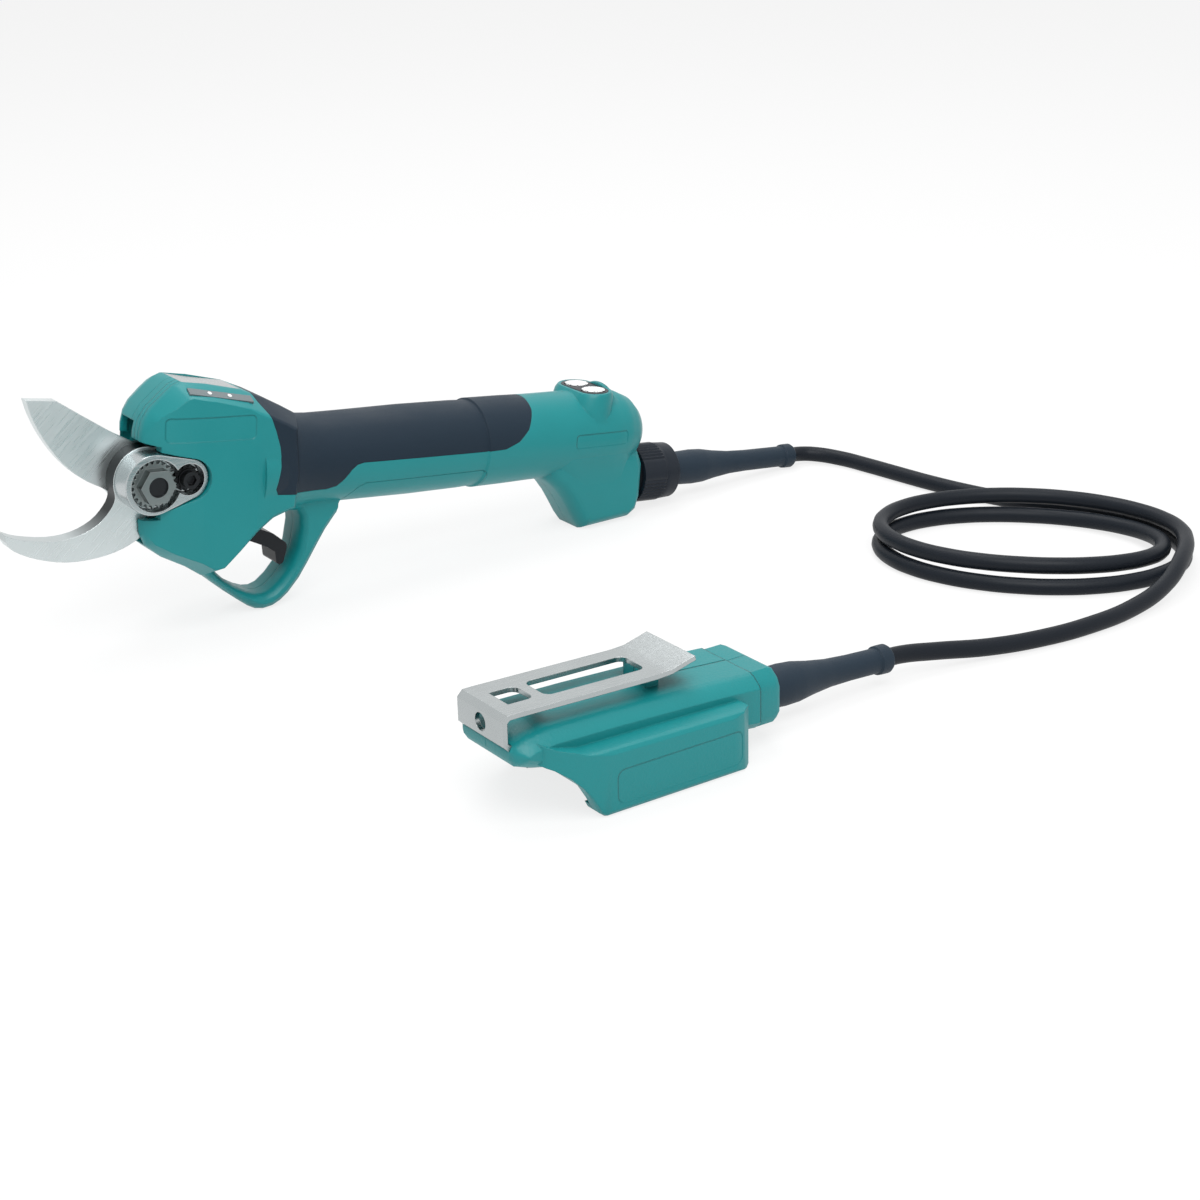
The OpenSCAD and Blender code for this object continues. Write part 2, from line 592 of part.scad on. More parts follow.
module lock_screw() {
    color([0.08, 0.08, 0.09]) tool() translate([pinion_x, 0, pinion_z]) difference() {
        union() {
            pin(0, 0, pocket_y - 4.42, frame_y - 0.8, 2);
            pin(0, 0, pocket_y - 7.4, pocket_y - 4.42, 3.5);
        }
        translate([0, pocket_y - 5.4, 0]) rotate([90, 0, 0]) cylinder(h = 3, r = 2.2, $fn = 6);
    }
}

// Drive; the fork on the ball nut holds the drive pin
FORK = [[44, -5], [44, 6.4], [24, 15.5], [20, 18.6], [pin_x - 5.1, 18.6], [pin_x - 5.1, 8.2], [17, 8.2],
        [31, -5]];
module ball_nut() {
    color([0.5, 0.52, 0.55]) tool() difference() {
        union() {
            bar(31, 46, ball_nut_r);
            slab(FORK, 4.9, 8.6);
        }
        bar(20, 60, screw_r + run_gap);
        translate([pin_x - drive_pin_r - fork_gap, 0, pin_z - drive_pin_r - 0.6])
            cube([2 * (drive_pin_r + fork_gap), 20, 20]);
    }
}
module ball_screw() {
    color([0.6, 0.61, 0.63]) tool() union() {
        bar(25, 80, screw_r);
        bar(57, 60.5, screw_r + 2.5);
    }
}
module screw_bearing() {
    color([0.65, 0.66, 0.68]) tool() difference() {
        bar(62, 71, bearing_r);
        bar(61, 72, screw_r + run_gap);
    }
}
module gear_unit() {
    color([0.4, 0.41, 0.43]) tool() difference() {
        bar(71.02, 100, motor_r);
        bar(70, 80.4, screw_r + run_gap);
        bar(94, 101, shaft_r + run_gap);
    }
}
module motor_can() {
    color([0.25, 0.26, 0.28]) tool() difference() {
        bar(100.02, 149, motor_r);
        bar(102, 147, motor_r - 2);
        bar(99, 150, shaft_r + run_gap);
    }
}
module stator() {
    color([0.6, 0.38, 0.2]) tool() difference() {
        bar(106, 144, motor_r - 2.02);
        bar(105, 145, rotor_r + 0.4);
    }
}
module rotor() {
    color([0.45, 0.46, 0.48]) tool() union() {
        bar(107, 143, rotor_r);
        bar(94.6, 151, shaft_r);
    }
}
module control_board() {
    color([0.05, 0.3, 0.15]) tool() translate([190, -foot_hw + wall + 0.05, -9.6])
        cube([28, 2 * (foot_hw - wall) - 0.1, 1.6]);
}
module board_capacitors() {
    color([0.1, 0.1, 0.12]) tool() for (y = [-6, 6]) translate([203, y, -7.98]) cylinder(h = 11, r = 4);
}

// Trigger and controls
module trigger() {
    color([0.06, 0.06, 0.07]) tool() difference() {
        slab2(-trigger_w / 2, trigger_w / 2) trigger_shape();
        pin(trig_x, trig_z, -40, 40, trigger_pin_r + run_gap);
    }
}
module trigger_pin() {
    color([0.6, 0.61, 0.63]) tool() pin(trig_x, trig_z, -trigger_w + 0.1, trigger_w - 0.1, trigger_pin_r);
}
spring_r = 3.3;
SPRING = [for (i = [0 : 36]) [trig_x + spring_r * cos(30 * i), trigger_w / 2 + 0.9 + 0.096 * i,
                              trig_z + spring_r * sin(30 * i)]];
module trigger_spring() {
    color([0.7, 0.71, 0.72]) tool() tube(SPRING, 0.35, 6, [0, 1, 0]);
}
module trigger_switch() {
    color([0.12, 0.12, 0.13]) tool() union() {
        translate([24, -5, -26]) cube([9, 10, 10]);
        translate([25, HEAD_PLAN[5][1] + wall + 0.05, -16.02])
            cube([7, -2 * (HEAD_PLAN[5][1] + wall + 0.05), 1.4]);
    }
}
module button_board() {
    color([0.05, 0.3, 0.15]) tool() panel() translate([-4, -10, -7.2]) cube([8, 20, 1.4]);
}
module top_plate() {
    color([0.8, 0.81, 0.82]) tool() top_frame() translate([-13, -8.5, -1]) cube([26, 17, 1]);
}
LENS_X = [-5, 3.8];
module indicator_strip() {
    color([0.35, 0.37, 0.38]) tool() indicator() difference() {
        translate([-14, -2.1, -1.48]) cube([28, 4.2, 1.75]);
        for (x = LENS_X) translate([x, 0, -0.6]) cylinder(h = 3, r = 0.92);
    }
}
module indicator_lenses() {
    color([0.95, 0.95, 0.92]) tool() indicator() for (x = LENS_X) translate([x, 0, -0.58])
        cylinder(h = 1.1, r = 0.9);
}
module control_panel() {
    color([0.08, 0.09, 0.1]) tool() panel() difference() {
        union() {
            translate([0, 0, -2.4]) linear_extrude(2.4) oval(0);
            for (x = [-3.6, 3.6]) translate([x, 0, -5.78]) cylinder(h = 4, r = 0.9);
        }
        for (y = [-0.5, 0.5]) translate([0, y * button_pitch, -5]) cylinder(h = 9, r = button_r + button_gap);
    }
}
module push_button() {
    panel() {
        translate([0, 0, -3]) cylinder(h = 4, r = button_r);
        translate([0, 0, 1]) cylinder(h = 0.7, r1 = button_r, r2 = button_r - 1.4);
        translate([0, 0, -4.4]) cylinder(h = 1.5, r = button_r + 0.7);
    }
}
module power_button() {
    color([0.92, 0.92, 0.9]) tool() translate([0, button_pitch / 2, 0]) push_button();
}
module mode_button() {
    color([0.92, 0.92, 0.9]) tool() translate([0, -button_pitch / 2, 0]) push_button();
}

// Connector, boots and cord
module plug_axis() {
    tool() translate([0, 0, -plug_drop]) children();
}
module cord_socket() {
    color([0.1, 0.11, 0.13]) plug_axis() bar(plug_x - 12, plug_x + 3.5, plug_r);
}
// Ribbed outline of the ring nut: four groups of fine ribs between smooth lands
RIBS = [for (g = [0 : 3], i = [0 : 23]) let (a = 90 * g + 3.75 * i,
    r = i < 15 && i % 2 == 1 ? ring_r - 0.5 : ring_r) r * [cos(a), sin(a)]];
module ring_nut() {
    color([0.1, 0.12, 0.15]) plug_axis() difference() {
        translate([plug_x + 0.4, 0, 0]) rotate([0, 90, 0]) linear_extrude(ring_l) polygon(RIBS);
        bar(plug_x, plug_x + 20, plug_r + run_gap);
    }
}
module plug() {
    color([0.09, 0.1, 0.12]) plug_axis() translate([plug_x + ring_l + 0.8, 0, 0])
        turned([[3.52 - ring_l - 0.8, plug_r], [0, plug_r], [0, plug_r + 1.9], [1.6, plug_r + 2.3],
                [collar_l - 2, plug_r + 2], [collar_l - 0.6, plug_r + 0.4], [collar_l, plug_r - 1.4]]);
}
function boot(l) = [[0, 7.4], [13, 7.9], [19, 7.6], [26, 6.4], [35, 5.3], [45, 4.9], [l - 6, 4.8],
    [l - 5.4, 5.5], [l - 4, 5.6], [l - 1, 5.6], [l, 5]];
module tool_boot() {
    color([0.1, 0.12, 0.15]) plug_axis() translate([boot_x, 0, 0]) turned(boot(tool_boot_l));
}
module cord_tool_side() {
    color([0.06, 0.07, 0.09]) tube(route(LEAD_IN), cord_d / 2, 8);
}
module cord_coil() {
    color([0.06, 0.07, 0.09]) tube(COIL, cord_d / 2, 6);
    apart = [for (i = [0 : coil_n], j = [0 : coil_n]) if (j > i + 4) norm(COIL[i] - COIL[j])];
    echo(least_coil_gap = min(apart) - cord_d);
}
module cord_adapter_side() {
    color([0.06, 0.07, 0.09]) tube(route(LEAD_OUT), cord_d / 2, 8);
}
module adapter_boot() {
    color([0.1, 0.12, 0.15]) adapter() translate([cap_x + cap_l + boot_seat, 0, boot_z])
        rotate([0, boot_tilt, 0]) turned(boot(boot_l));
}

// Adapter
BODY_LAYERS = [[-body_hw, 4.4], [-body_hw + 1.4, 2.8], [-body_hw + 3.6, 1.1], [-body_hw + 6, 0], [1, 0]];
SKIRT_LAYERS = [[-skirt_hw, 1.8], [-skirt_hw + 0.8, 0.6], [-skirt_hw + 2.4, 0], [2, 0]];
ADAPTER_SCREWS = [[-9, 23], [75, 18]];
module adapter_half(right) {
    difference() {
        union() {
            pillow(BODY, BODY_LAYERS);
            intersection() {
                pillow(SKIRT, SKIRT_LAYERS);
                upright(SKIRT_PLAN);
            }
            translate([40, -6.5, 26]) cube([5.5, 9, 37.5 - hook_t / 2 - 0.05 - 26]);
        }
        other_half();
        translate([cap_x, -40, -1]) cube([40, 42, 60]);
        translate([-30, -rail_hw, lip_h]) cube([94, rail_hw + 1, rail_h - lip_h]);
        translate([-30, -rail_hw + lip, -1]) cube([94, rail_hw - lip + 1, lip_h + 2]);
        translate([-24, -hook_w / 2 - 0.05, 28 - hook_t / 2 - 0.02])
            cube([12.1, hook_w / 2 + 2, hook_t + 0.04]);
        for (b = ADAPTER_SCREWS) {
            if (!right) pin(b[0], b[1], -10.6, 1, 1.5);
            if (right) pin(b[0], b[1], -40, 1, 1.7);
            if (right) pin(b[0], b[1], -40, -14, 3.2);
        }
    }
}
module adapter_left() {
    color([0.0, 0.45, 0.47]) adapter() adapter_half(false);
}
module adapter_right() {
    color([0.0, 0.45, 0.47]) adapter() mirror([0, 1, 0]) adapter_half(true);
}
module adapter_screws() {
    color([0.3, 0.31, 0.33]) adapter() for (b = ADAPTER_SCREWS) difference() {
        union() {
            pin(b[0], b[1], -10, 14.02, 1.45);
            pin(b[0], b[1], 14.02, 16.2, 2.9);
        }
        pin(b[0], b[1], 15, 17, 1.2);
    }
}
CAP = [[-18.6, 12], [-16.6, 8.4], [-13, 6.9], [13, 6.9], [16.6, 8.4], [18.6, 12], [18.6, 22], [17, 25.4],
       [13.4, 28.2], [-13.4, 28.2], [-17, 25.4], [-18.6, 22]];
module adapter_end_cap() {
    color([0.0, 0.45, 0.47]) adapter() rotate([0, 0, -90])
        pillow(CAP, [[cap_x + 0.04, 0], [cap_x + 8, 0], [cap_x + 10.2, 1], [cap_x + cap_l, 3]]);
}
function side_pt(p, i, d) = let (m = len(p) - 1, e1 = unit(p[max(1, i)] - p[max(0, i - 1)]),
    e2 = unit(p[min(m, i + 1)] - p[min(m - 1, i)]), n1 = [-e1[1], e1[0]], n2 = [-e2[1], e2[0]])
    p[i] + (n1 + n2) * (d / (1 + n1 * n2));
function ribbon(p, t) = concat([for (i = [0 : len(p) - 1]) side_pt(p, i, t / 2)],
    [for (i = [len(p) - 1 : -1 : 0]) side_pt(p, i, -t / 2)]);
module belt_hook() {
    color([0.8, 0.81, 0.82]) adapter() difference() {
        slab(ribbon(STRIP, hook_t), -hook_w / 2, hook_w / 2);
        translate([0, 0, 30]) linear_extrude(20) {
            for (y = [-4, 4]) link([2, y], 3, [37, y], 3);
            translate([-1, -4]) square([41, 8]);
        }
        translate([0, 0, 34]) linear_extrude(20) {
            link([-8, -3], 3, [-8, 3], 3);
            translate([-15.5, -6]) square([7.5, 12]);
        }
        translate([-30, 0, 33.6]) rotate([0, 90, 0]) cylinder(h = 15, r = hook_hole_r);
    }
}
module terminal_block() {
    color([0.1, 0.1, 0.11]) adapter() difference() {
        translate([44, -13, 5]) cube([19.98, 26, rail_h - 5.02]);
        for (y = [-8, 0, 8]) translate([43, y - 0.42, 6.48]) cube([9.02, 0.84, 5.04]);
    }
}
module terminal_contacts() {
    color([0.75, 0.6, 0.35]) adapter() for (y = [-8, 0, 8]) translate([35, y - 0.4, 6.5]) cube([17, 0.8, 5]);
}

left_housing();
right_housing();
left_grip();
right_grip();
lower_cover();
housing_screws();
blade_frame();
counter_blade();
cutting_blade();
pivot_bolt();
toothed_nut();
lock_pinion();
lock_screw();
drive_pin();
ball_nut();
ball_screw();
screw_bearing();
gear_unit();
motor_can();
stator();
rotor();
control_board();
board_capacitors();
trigger();
trigger_pin();
trigger_spring();
trigger_switch();
button_board();
top_plate();
indicator_strip();
indicator_lenses();
control_panel();
power_button();
mode_button();
cord_socket();
ring_nut();
plug();
tool_boot();
cord_tool_side();
cord_coil();
cord_adapter_side();
adapter_boot();
adapter_left();
adapter_right();
adapter_end_cap();
belt_hook();
terminal_block();
terminal_contacts();
adapter_screws();
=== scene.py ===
"""Looks of a battery electric pruner: hand unit, coiled cord and battery adapter with a belt hook."""
import json
import math

import bmesh
import bpy
from bpy.props import FloatProperty, FloatVectorProperty, IntProperty, PointerProperty
from mathutils import Matrix, Vector

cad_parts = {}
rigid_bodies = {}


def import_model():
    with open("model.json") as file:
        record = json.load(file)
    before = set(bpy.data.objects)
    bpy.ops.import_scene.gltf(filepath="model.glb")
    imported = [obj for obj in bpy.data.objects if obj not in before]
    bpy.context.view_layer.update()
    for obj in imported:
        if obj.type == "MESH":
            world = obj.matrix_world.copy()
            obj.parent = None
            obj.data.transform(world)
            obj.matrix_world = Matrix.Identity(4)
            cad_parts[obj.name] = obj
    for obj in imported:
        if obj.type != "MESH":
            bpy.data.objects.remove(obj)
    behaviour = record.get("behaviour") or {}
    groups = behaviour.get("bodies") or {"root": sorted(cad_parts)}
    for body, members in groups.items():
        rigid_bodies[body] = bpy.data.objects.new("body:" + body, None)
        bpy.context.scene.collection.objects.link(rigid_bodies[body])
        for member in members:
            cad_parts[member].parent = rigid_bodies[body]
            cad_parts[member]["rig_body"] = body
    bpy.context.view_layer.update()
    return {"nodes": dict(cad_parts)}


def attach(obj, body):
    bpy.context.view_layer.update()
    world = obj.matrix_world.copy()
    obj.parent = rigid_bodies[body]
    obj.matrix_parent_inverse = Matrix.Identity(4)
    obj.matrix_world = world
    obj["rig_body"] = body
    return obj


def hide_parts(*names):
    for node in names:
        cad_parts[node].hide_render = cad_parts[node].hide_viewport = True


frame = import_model()

bl_info = {
    "name": "Electric pruner looks",
    "version": (1, 0, 0),
    "blender": (4, 5, 0),
    "location": "View3D > Sidebar > Pruner",
    "description": "Dresses the packed pruner with rounded edges, finishes, its cord and a studio",
    "category": "Object",
}

MM = 0.001
TOOL_PITCH = math.radians(6.6)
NODES = frame["nodes"]
# The hand unit's own frame and that of its control panel, as in the source
TOOL = Matrix.Rotation(TOOL_PITCH, 4, "Y") @ Matrix.Translation((-0.218, 0, 0.0413))
PANEL = TOOL @ Matrix.Translation((0.213, 0, 0.0179)) @ Matrix.Rotation(math.radians(9), 4, "Y")
# The panel's oval in its frame: middles of its round ends and of the buttons, and how its pad is lifted
PANEL_END = 0.007
BUTTON_OUT = 0.0065
PAD_REACH = 0.0091
PAD_FRONT = -0.009
PAD_SLOPE = 0.2
PAD_RIM_LOW = -0.0016
FILM_TOP = 0.0005


class PrunerFinish(bpy.types.PropertyGroup):
    """Colours and surface values of the moulded and metal pieces."""

    plastic: FloatVectorProperty(
        name="Housing plastic", description="Colour of the moulded housings", subtype="COLOR",
        default=(0.006, 0.215, 0.226), min=0, max=1)
    rubber: FloatVectorProperty(
        name="Grip rubber", description="Colour of the soft grip", subtype="COLOR",
        default=(0.0095, 0.021, 0.035), min=0, max=1)
    jacket: FloatVectorProperty(
        name="Cord jacket", description="Colour of the cord", subtype="COLOR",
        default=(0.0075, 0.0105, 0.0155), min=0, max=1)
    grain: FloatProperty(
        name="Plastic grain", description="Cells of moulded grain per metre",
        default=1500, min=200, max=6000)
    brush: FloatProperty(
        name="Brush lines", description="Grinding lines per metre on the steel",
        default=2600, min=200, max=9000)


class PrunerCord(bpy.types.PropertyGroup):
    """Sizes of the cord, the same as those of the solid cord."""

    diameter: FloatProperty(
        name="Diameter", description="Cord diameter", unit="LENGTH", default=0.007, min=0.004, max=0.01)
    coil_length: FloatProperty(
        name="Coil half length", description="Half length of the outer turn on its centre line",
        unit="LENGTH", default=0.066, min=0.04, max=0.1)
    coil_width: FloatProperty(
        name="Coil half width", description="Half width of the outer turn on its centre line",
        unit="LENGTH", default=0.048, min=0.04, max=0.1)
    coil_step: FloatProperty(
        name="Coil step", description="How far a turn spirals inwards", unit="LENGTH",
        default=0.009, min=0.0075, max=0.02)
    coil_rise: FloatProperty(
        name="Coil rise", description="Height between the two layers", unit="LENGTH",
        default=0.0076, min=0.007, max=0.01)
    coil_points: IntProperty(
        name="Points a turn", description="Points on one turn of the coil", default=24, min=12, max=64)


class PrunerStage(bpy.types.PropertyGroup):
    """Camera and light."""

    lens: FloatProperty(
        name="Lens", description="Focal length on a 36 mm sensor", subtype="DISTANCE_CAMERA",
        default=71.52, min=20, max=200)
    eye: FloatVectorProperty(
        name="Camera place", description="Where the camera stands", subtype="TRANSLATION",
        default=(-0.56882, -0.83562, 0.3589))
    heading: FloatProperty(
        name="Heading", description="Camera's turn from +Y towards +X", subtype="ANGLE",
        default=math.radians(34.601))
    dip: FloatProperty(
        name="Dip", description="How far the camera looks down", subtype="ANGLE",
        default=math.radians(21.494))
    roll: FloatProperty(
        name="Roll", description="Turn of the camera about its view", subtype="ANGLE",
        default=math.radians(-1.484))
    key_power: FloatProperty(
        name="Key lamp", description="Power of the large soft lamp", subtype="POWER", default=12.5, min=0)
    sky: FloatProperty(
        name="Sky level", description="Light from all round", default=0.5, min=0, max=2)


# Shader node helpers and groups shared by the finishes

# Noise stays between about these two values
NOISE_LOW = 0.3
NOISE_HIGH = 0.7


def tree_node(tree, kind, **values):
    """Add a node and set its inputs by socket name."""
    node = tree.nodes.new(kind)
    for key, value in values.items():
        node.inputs[key.replace("_", " ")].default_value = value
    return node


def math_node(tree, operation, first, second):
    """Add a Math node on two sockets or numbers and give its output."""
    node = tree.nodes.new("ShaderNodeMath")
    node.operation = operation
    for socket, value in zip(node.inputs, (first, second)):
        if isinstance(value, bpy.types.NodeSocket):
            tree.links.new(value, socket)
        else:
            socket.default_value = value
    return node.outputs[0]


def new_group(name, inputs, outputs):
    """Start a shader node group with named sockets."""
    group = bpy.data.node_groups.new(name, "ShaderNodeTree")
    for label, kind, value in inputs:
        socket = group.interface.new_socket(label, in_out="INPUT", socket_type=kind)
        if value is not None:
            socket.default_value = value
    for label, kind in outputs:
        group.interface.new_socket(label, in_out="OUTPUT", socket_type=kind)
    return group, group.nodes.new("NodeGroupInput"), group.nodes.new("NodeGroupOutput")


def moulded_grain_group():
    """Fine spark-eroded grain of a mould: cells broken up by noise, as a height."""
    group, start, end = new_group(
        "Moulded grain",
        [("Vector", "NodeSocketVector", None), ("Scale", "NodeSocketFloat", 1500.0)],
        [("Height", "NodeSocketFloat")])
    cells = group.nodes.new("ShaderNodeTexVoronoi")
    cells.feature = "SMOOTH_F1"
    fine = tree_node(group, "ShaderNodeTexNoise", Detail=2.0, Roughness=0.6)
    fine_scale = math_node(group, "MULTIPLY", start.outputs["Scale"], 1.9)
    link = group.links.new
    link(start.outputs["Vector"], cells.inputs["Vector"])
    link(start.outputs["Vector"], fine.inputs["Vector"])
    link(start.outputs["Scale"], cells.inputs["Scale"])
    link(fine_scale, fine.inputs["Scale"])
    height = math_node(group, "ADD", cells.outputs["Distance"], fine.outputs["Fac"])
    link(height, end.inputs["Height"])
    return group


def handled_group():
    """Slow drift of a value over the surface, as handling leaves it, between two limits."""
    group, start, end = new_group(
        "Handled surface",
        [("Vector", "NodeSocketVector", None), ("Scale", "NodeSocketFloat", 40.0),
         ("Low", "NodeSocketFloat", 0.4), ("High", "NodeSocketFloat", 0.5)],
        [("Value", "NodeSocketFloat"), ("Mask", "NodeSocketFloat")])
    noise = tree_node(group, "ShaderNodeTexNoise", Detail=4.0, Roughness=0.55)
    spread = tree_node(group, "ShaderNodeMapRange", From_Min=NOISE_LOW, From_Max=NOISE_HIGH)
    link = group.links.new
    link(start.outputs["Vector"], noise.inputs["Vector"])
    link(start.outputs["Scale"], noise.inputs["Scale"])
    link(noise.outputs["Fac"], spread.inputs["Value"])
    link(start.outputs["Low"], spread.inputs["To Min"])
    link(start.outputs["High"], spread.inputs["To Max"])
    link(spread.outputs["Result"], end.inputs["Value"])
    link(noise.outputs["Fac"], end.inputs["Mask"])
    return group


def brushed_group():
    """Parallel grinding lines, long along the vector's X and fine across it."""
    group, start, end = new_group(
        "Brushed lines",
        [("Vector", "NodeSocketVector", None), ("Lines", "NodeSocketFloat", 2600.0)],
        [("Height", "NodeSocketFloat")])
    squeeze = group.nodes.new("ShaderNodeVectorMath")
    squeeze.operation = "MULTIPLY"
    squeeze.inputs[1].default_value = (0.02, 1.0, 1.0)
    noise = tree_node(group, "ShaderNodeTexNoise", Detail=3.0, Roughness=0.65)
    link = group.links.new
    link(start.outputs["Vector"], squeeze.inputs[0])
    link(squeeze.outputs["Vector"], noise.inputs["Vector"])
    link(start.outputs["Lines"], noise.inputs["Scale"])
    link(noise.outputs["Fac"], end.inputs["Height"])
    return group


def outline_group():
    """Shallow moulded field with rounded corners, as a mask that is 1 inside and 0 outside."""
    group, start, end = new_group(
        "Moulded field",
        [("Vector", "NodeSocketVector", None), ("Centre", "NodeSocketVector", None),
         ("Half size", "NodeSocketVector", None), ("Corner", "NodeSocketFloat", 0.002),
         ("Soft", "NodeSocketFloat", 0.0003)],
        [("Mask", "NodeSocketFloat")])

    def vector_math(operation, first, second=None):
        node = group.nodes.new("ShaderNodeVectorMath")
        node.operation = operation
        group.links.new(first, node.inputs[0])
        if second is not None:
            group.links.new(second, node.inputs[1])
        return node

    away = vector_math("SUBTRACT", start.outputs["Vector"], start.outputs["Centre"])
    folded = vector_math("ABSOLUTE", away.outputs["Vector"])
    past = vector_math("SUBTRACT", folded.outputs["Vector"], start.outputs["Half size"])
    clear = vector_math("MAXIMUM", past.outputs["Vector"])
    reach = vector_math("LENGTH", clear.outputs["Vector"])
    edge = math_node(group, "SUBTRACT", reach.outputs["Value"], start.outputs["Corner"])
    share = math_node(group, "DIVIDE", edge, start.outputs["Soft"])
    inside = tree_node(group, "ShaderNodeMapRange", From_Min=1.0, From_Max=-1.0)
    group.links.new(share, inside.inputs["Value"])
    group.links.new(inside.outputs["Result"], end.inputs["Mask"])
    return group


GROUPS = {}


def shared(name):
    """Give a shared node group, built on first use."""
    makers = {"grain": moulded_grain_group, "handled": handled_group, "brushed": brushed_group,
              "field": outline_group}
    if name not in GROUPS:
        GROUPS[name] = makers[name]()
    return GROUPS[name]


class Finish:
    """A material under construction: its Principled shader and helpers to wire it."""

    def __init__(self, name, colour, roughness, **sockets):
        self.material = bpy.data.materials.new(name)
        self.material.use_nodes = True
        self.tree = self.material.node_tree
        self.shader = self.tree.nodes["Principled BSDF"]
        self.shader.inputs["Base Color"].default_value = (*colour, 1)
        self.shader.inputs["Roughness"].default_value = roughness
        for key, value in sockets.items():
            self.shader.inputs[key.replace("_", " ")].default_value = value
        self.place = self.tree.nodes.new("ShaderNodeTexCoord").outputs["Object"]

    def turned(self, angle):
        """Object coordinates turned about the axis across the hand unit."""
        mapping = self.tree.nodes.new("ShaderNodeMapping")
        mapping.inputs["Rotation"].default_value[1] = angle
        self.tree.links.new(self.place, mapping.inputs["Vector"])
        return mapping.outputs["Vector"]

    def group(self, name, vector=None, **values):
        """Place a shared node group with its own values."""
        node = self.tree.nodes.new("ShaderNodeGroup")
        node.node_tree = shared(name)
        for key, value in values.items():
            node.inputs[key].default_value = value
        self.tree.links.new(vector or self.place, node.inputs["Vector"])
        return node

    def drift(self, socket, low, high, scale=40.0):
        """Let a shader value drift between two limits."""
        node = self.group("handled", Scale=scale, Low=low, High=high)
        self.tree.links.new(node.outputs["Value"], self.shader.inputs[socket])
        return node

    def tint(self, mask, dark, light):
        """Mix two close colours by a mask."""
        mix = self.tree.nodes.new("ShaderNodeMix")
        mix.data_type = "RGBA"
        mix.inputs["A"].default_value = (*dark, 1)
        mix.inputs["B"].default_value = (*light, 1)
        self.tree.links.new(mask, mix.inputs["Factor"])
        self.tree.links.new(mix.outputs["Result"], self.shader.inputs["Base Color"])
        return mix

    def bump(self, height, strength, distance, edge=0.0):
        """Raise the surface by a height, over edges that look rounded where an edge radius is given."""
        node = tree_node(self.tree, "ShaderNodeBump", Strength=strength, Distance=distance)
        self.tree.links.new(height, node.inputs["Height"])
        if edge:
            soft = tree_node(self.tree, "ShaderNodeBevel", Radius=edge)
            soft.samples = 6
            self.tree.links.new(soft.outputs["Normal"], node.inputs["Normal"])
        self.tree.links.new(node.outputs["Normal"], self.shader.inputs["Normal"])
        return node

    def sink(self, bump, vector, fields, depth):
        """Sink shallow fields into the surface, in front of another bump."""
        node = tree_node(self.tree, "ShaderNodeBump", Strength=1.0, Distance=depth)
        node.invert = True
        total = 0.0
        for centre, half, corner in fields:
            field = self.group("field", vector, Centre=centre, **{"Half size": half}, Corner=corner)
            total = math_node(self.tree, "MAXIMUM", total, field.outputs["Mask"])
        self.tree.links.new(total, node.inputs["Height"])
        self.tree.links.new(bump.outputs["Normal"], node.inputs["Normal"])
        self.tree.links.new(node.outputs["Normal"], self.shader.inputs["Normal"])


def shade(colour, factor):
    """A colour made lighter or darker."""
    return tuple(min(1.0, c * factor) for c in colour)


def moulded(name, colour, low, high, grain, strength, edge=0.0, fields=(), on_tool=True, **sockets):
    """Moulded plastic or rubber: grain, drifting gloss, a slight drift of colour and sunk bare fields."""
    finish = Finish(name, colour, low, **sockets)
    drift = finish.drift("Roughness", low, high)
    finish.tint(drift.outputs["Mask"], shade(colour, 0.94), shade(colour, 1.06))
    bump = finish.bump(finish.group("grain", Scale=grain).outputs["Height"], strength, 0.0002, edge)
    if fields:
        place = finish.turned(-TOOL_PITCH) if on_tool else finish.place
        finish.sink(bump, place, fields, FIELD_DEPTH)
    return finish.material


def metal(name, colour, low, high, lines, strength, angle=0.0, edge=0.0, **sockets):
    """Bare or treated metal with grinding lines, drifting gloss and slightly broken edges."""
    finish = Finish(name, colour, low, Metallic=1.0, **sockets)
    drift = finish.group("handled", Scale=60.0)
    finish.tint(drift.outputs["Mask"], shade(colour, 0.9), shade(colour, 1.06))
    height = finish.group("brushed", finish.turned(angle), Lines=lines).outputs["Height"]
    gloss = tree_node(finish.tree, "ShaderNodeMapRange",
                      From_Min=NOISE_LOW, From_Max=NOISE_HIGH, To_Min=low, To_Max=high)
    finish.tree.links.new(height, gloss.inputs["Value"])
    finish.tree.links.new(gloss.outputs["Result"], finish.shader.inputs["Roughness"])
    finish.bump(height, strength, 0.0001, edge)
    return finish.material


# Where along the counter blade its inner edge goes from black painted shade by the hub to bare steel
EDGE_SHADE_X = -0.228
EDGE_BARE_X = -0.246


def edge_steel_painted_shade():
    """Inner edge of the counter blade: painted shade, black by the hub, and bare steel towards the tip.
    """
    finish = Finish("blade_edge_painted_shade", (0.3, 0.33, 0.335), 0.35, Metallic=1.0)
    finish.drift("Roughness", 0.3, 0.42, 60.0)
    split = finish.tree.nodes.new("ShaderNodeSeparateXYZ")
    finish.tree.links.new(finish.place, split.inputs["Vector"])
    shade_share = tree_node(finish.tree, "ShaderNodeMapRange", From_Min=EDGE_SHADE_X, From_Max=EDGE_BARE_X)
    finish.tree.links.new(split.outputs["X"], shade_share.inputs["Value"])
    # Painted shade: the edge is black by the hub and fades to bare steel towards the tip
    finish.tint(shade_share.outputs["Result"], (0.03, 0.034, 0.036), (0.5, 0.545, 0.55))
    finish.bump(finish.group("brushed", Lines=2600).outputs["Height"], 0.03, 0.0001)
    return finish.material


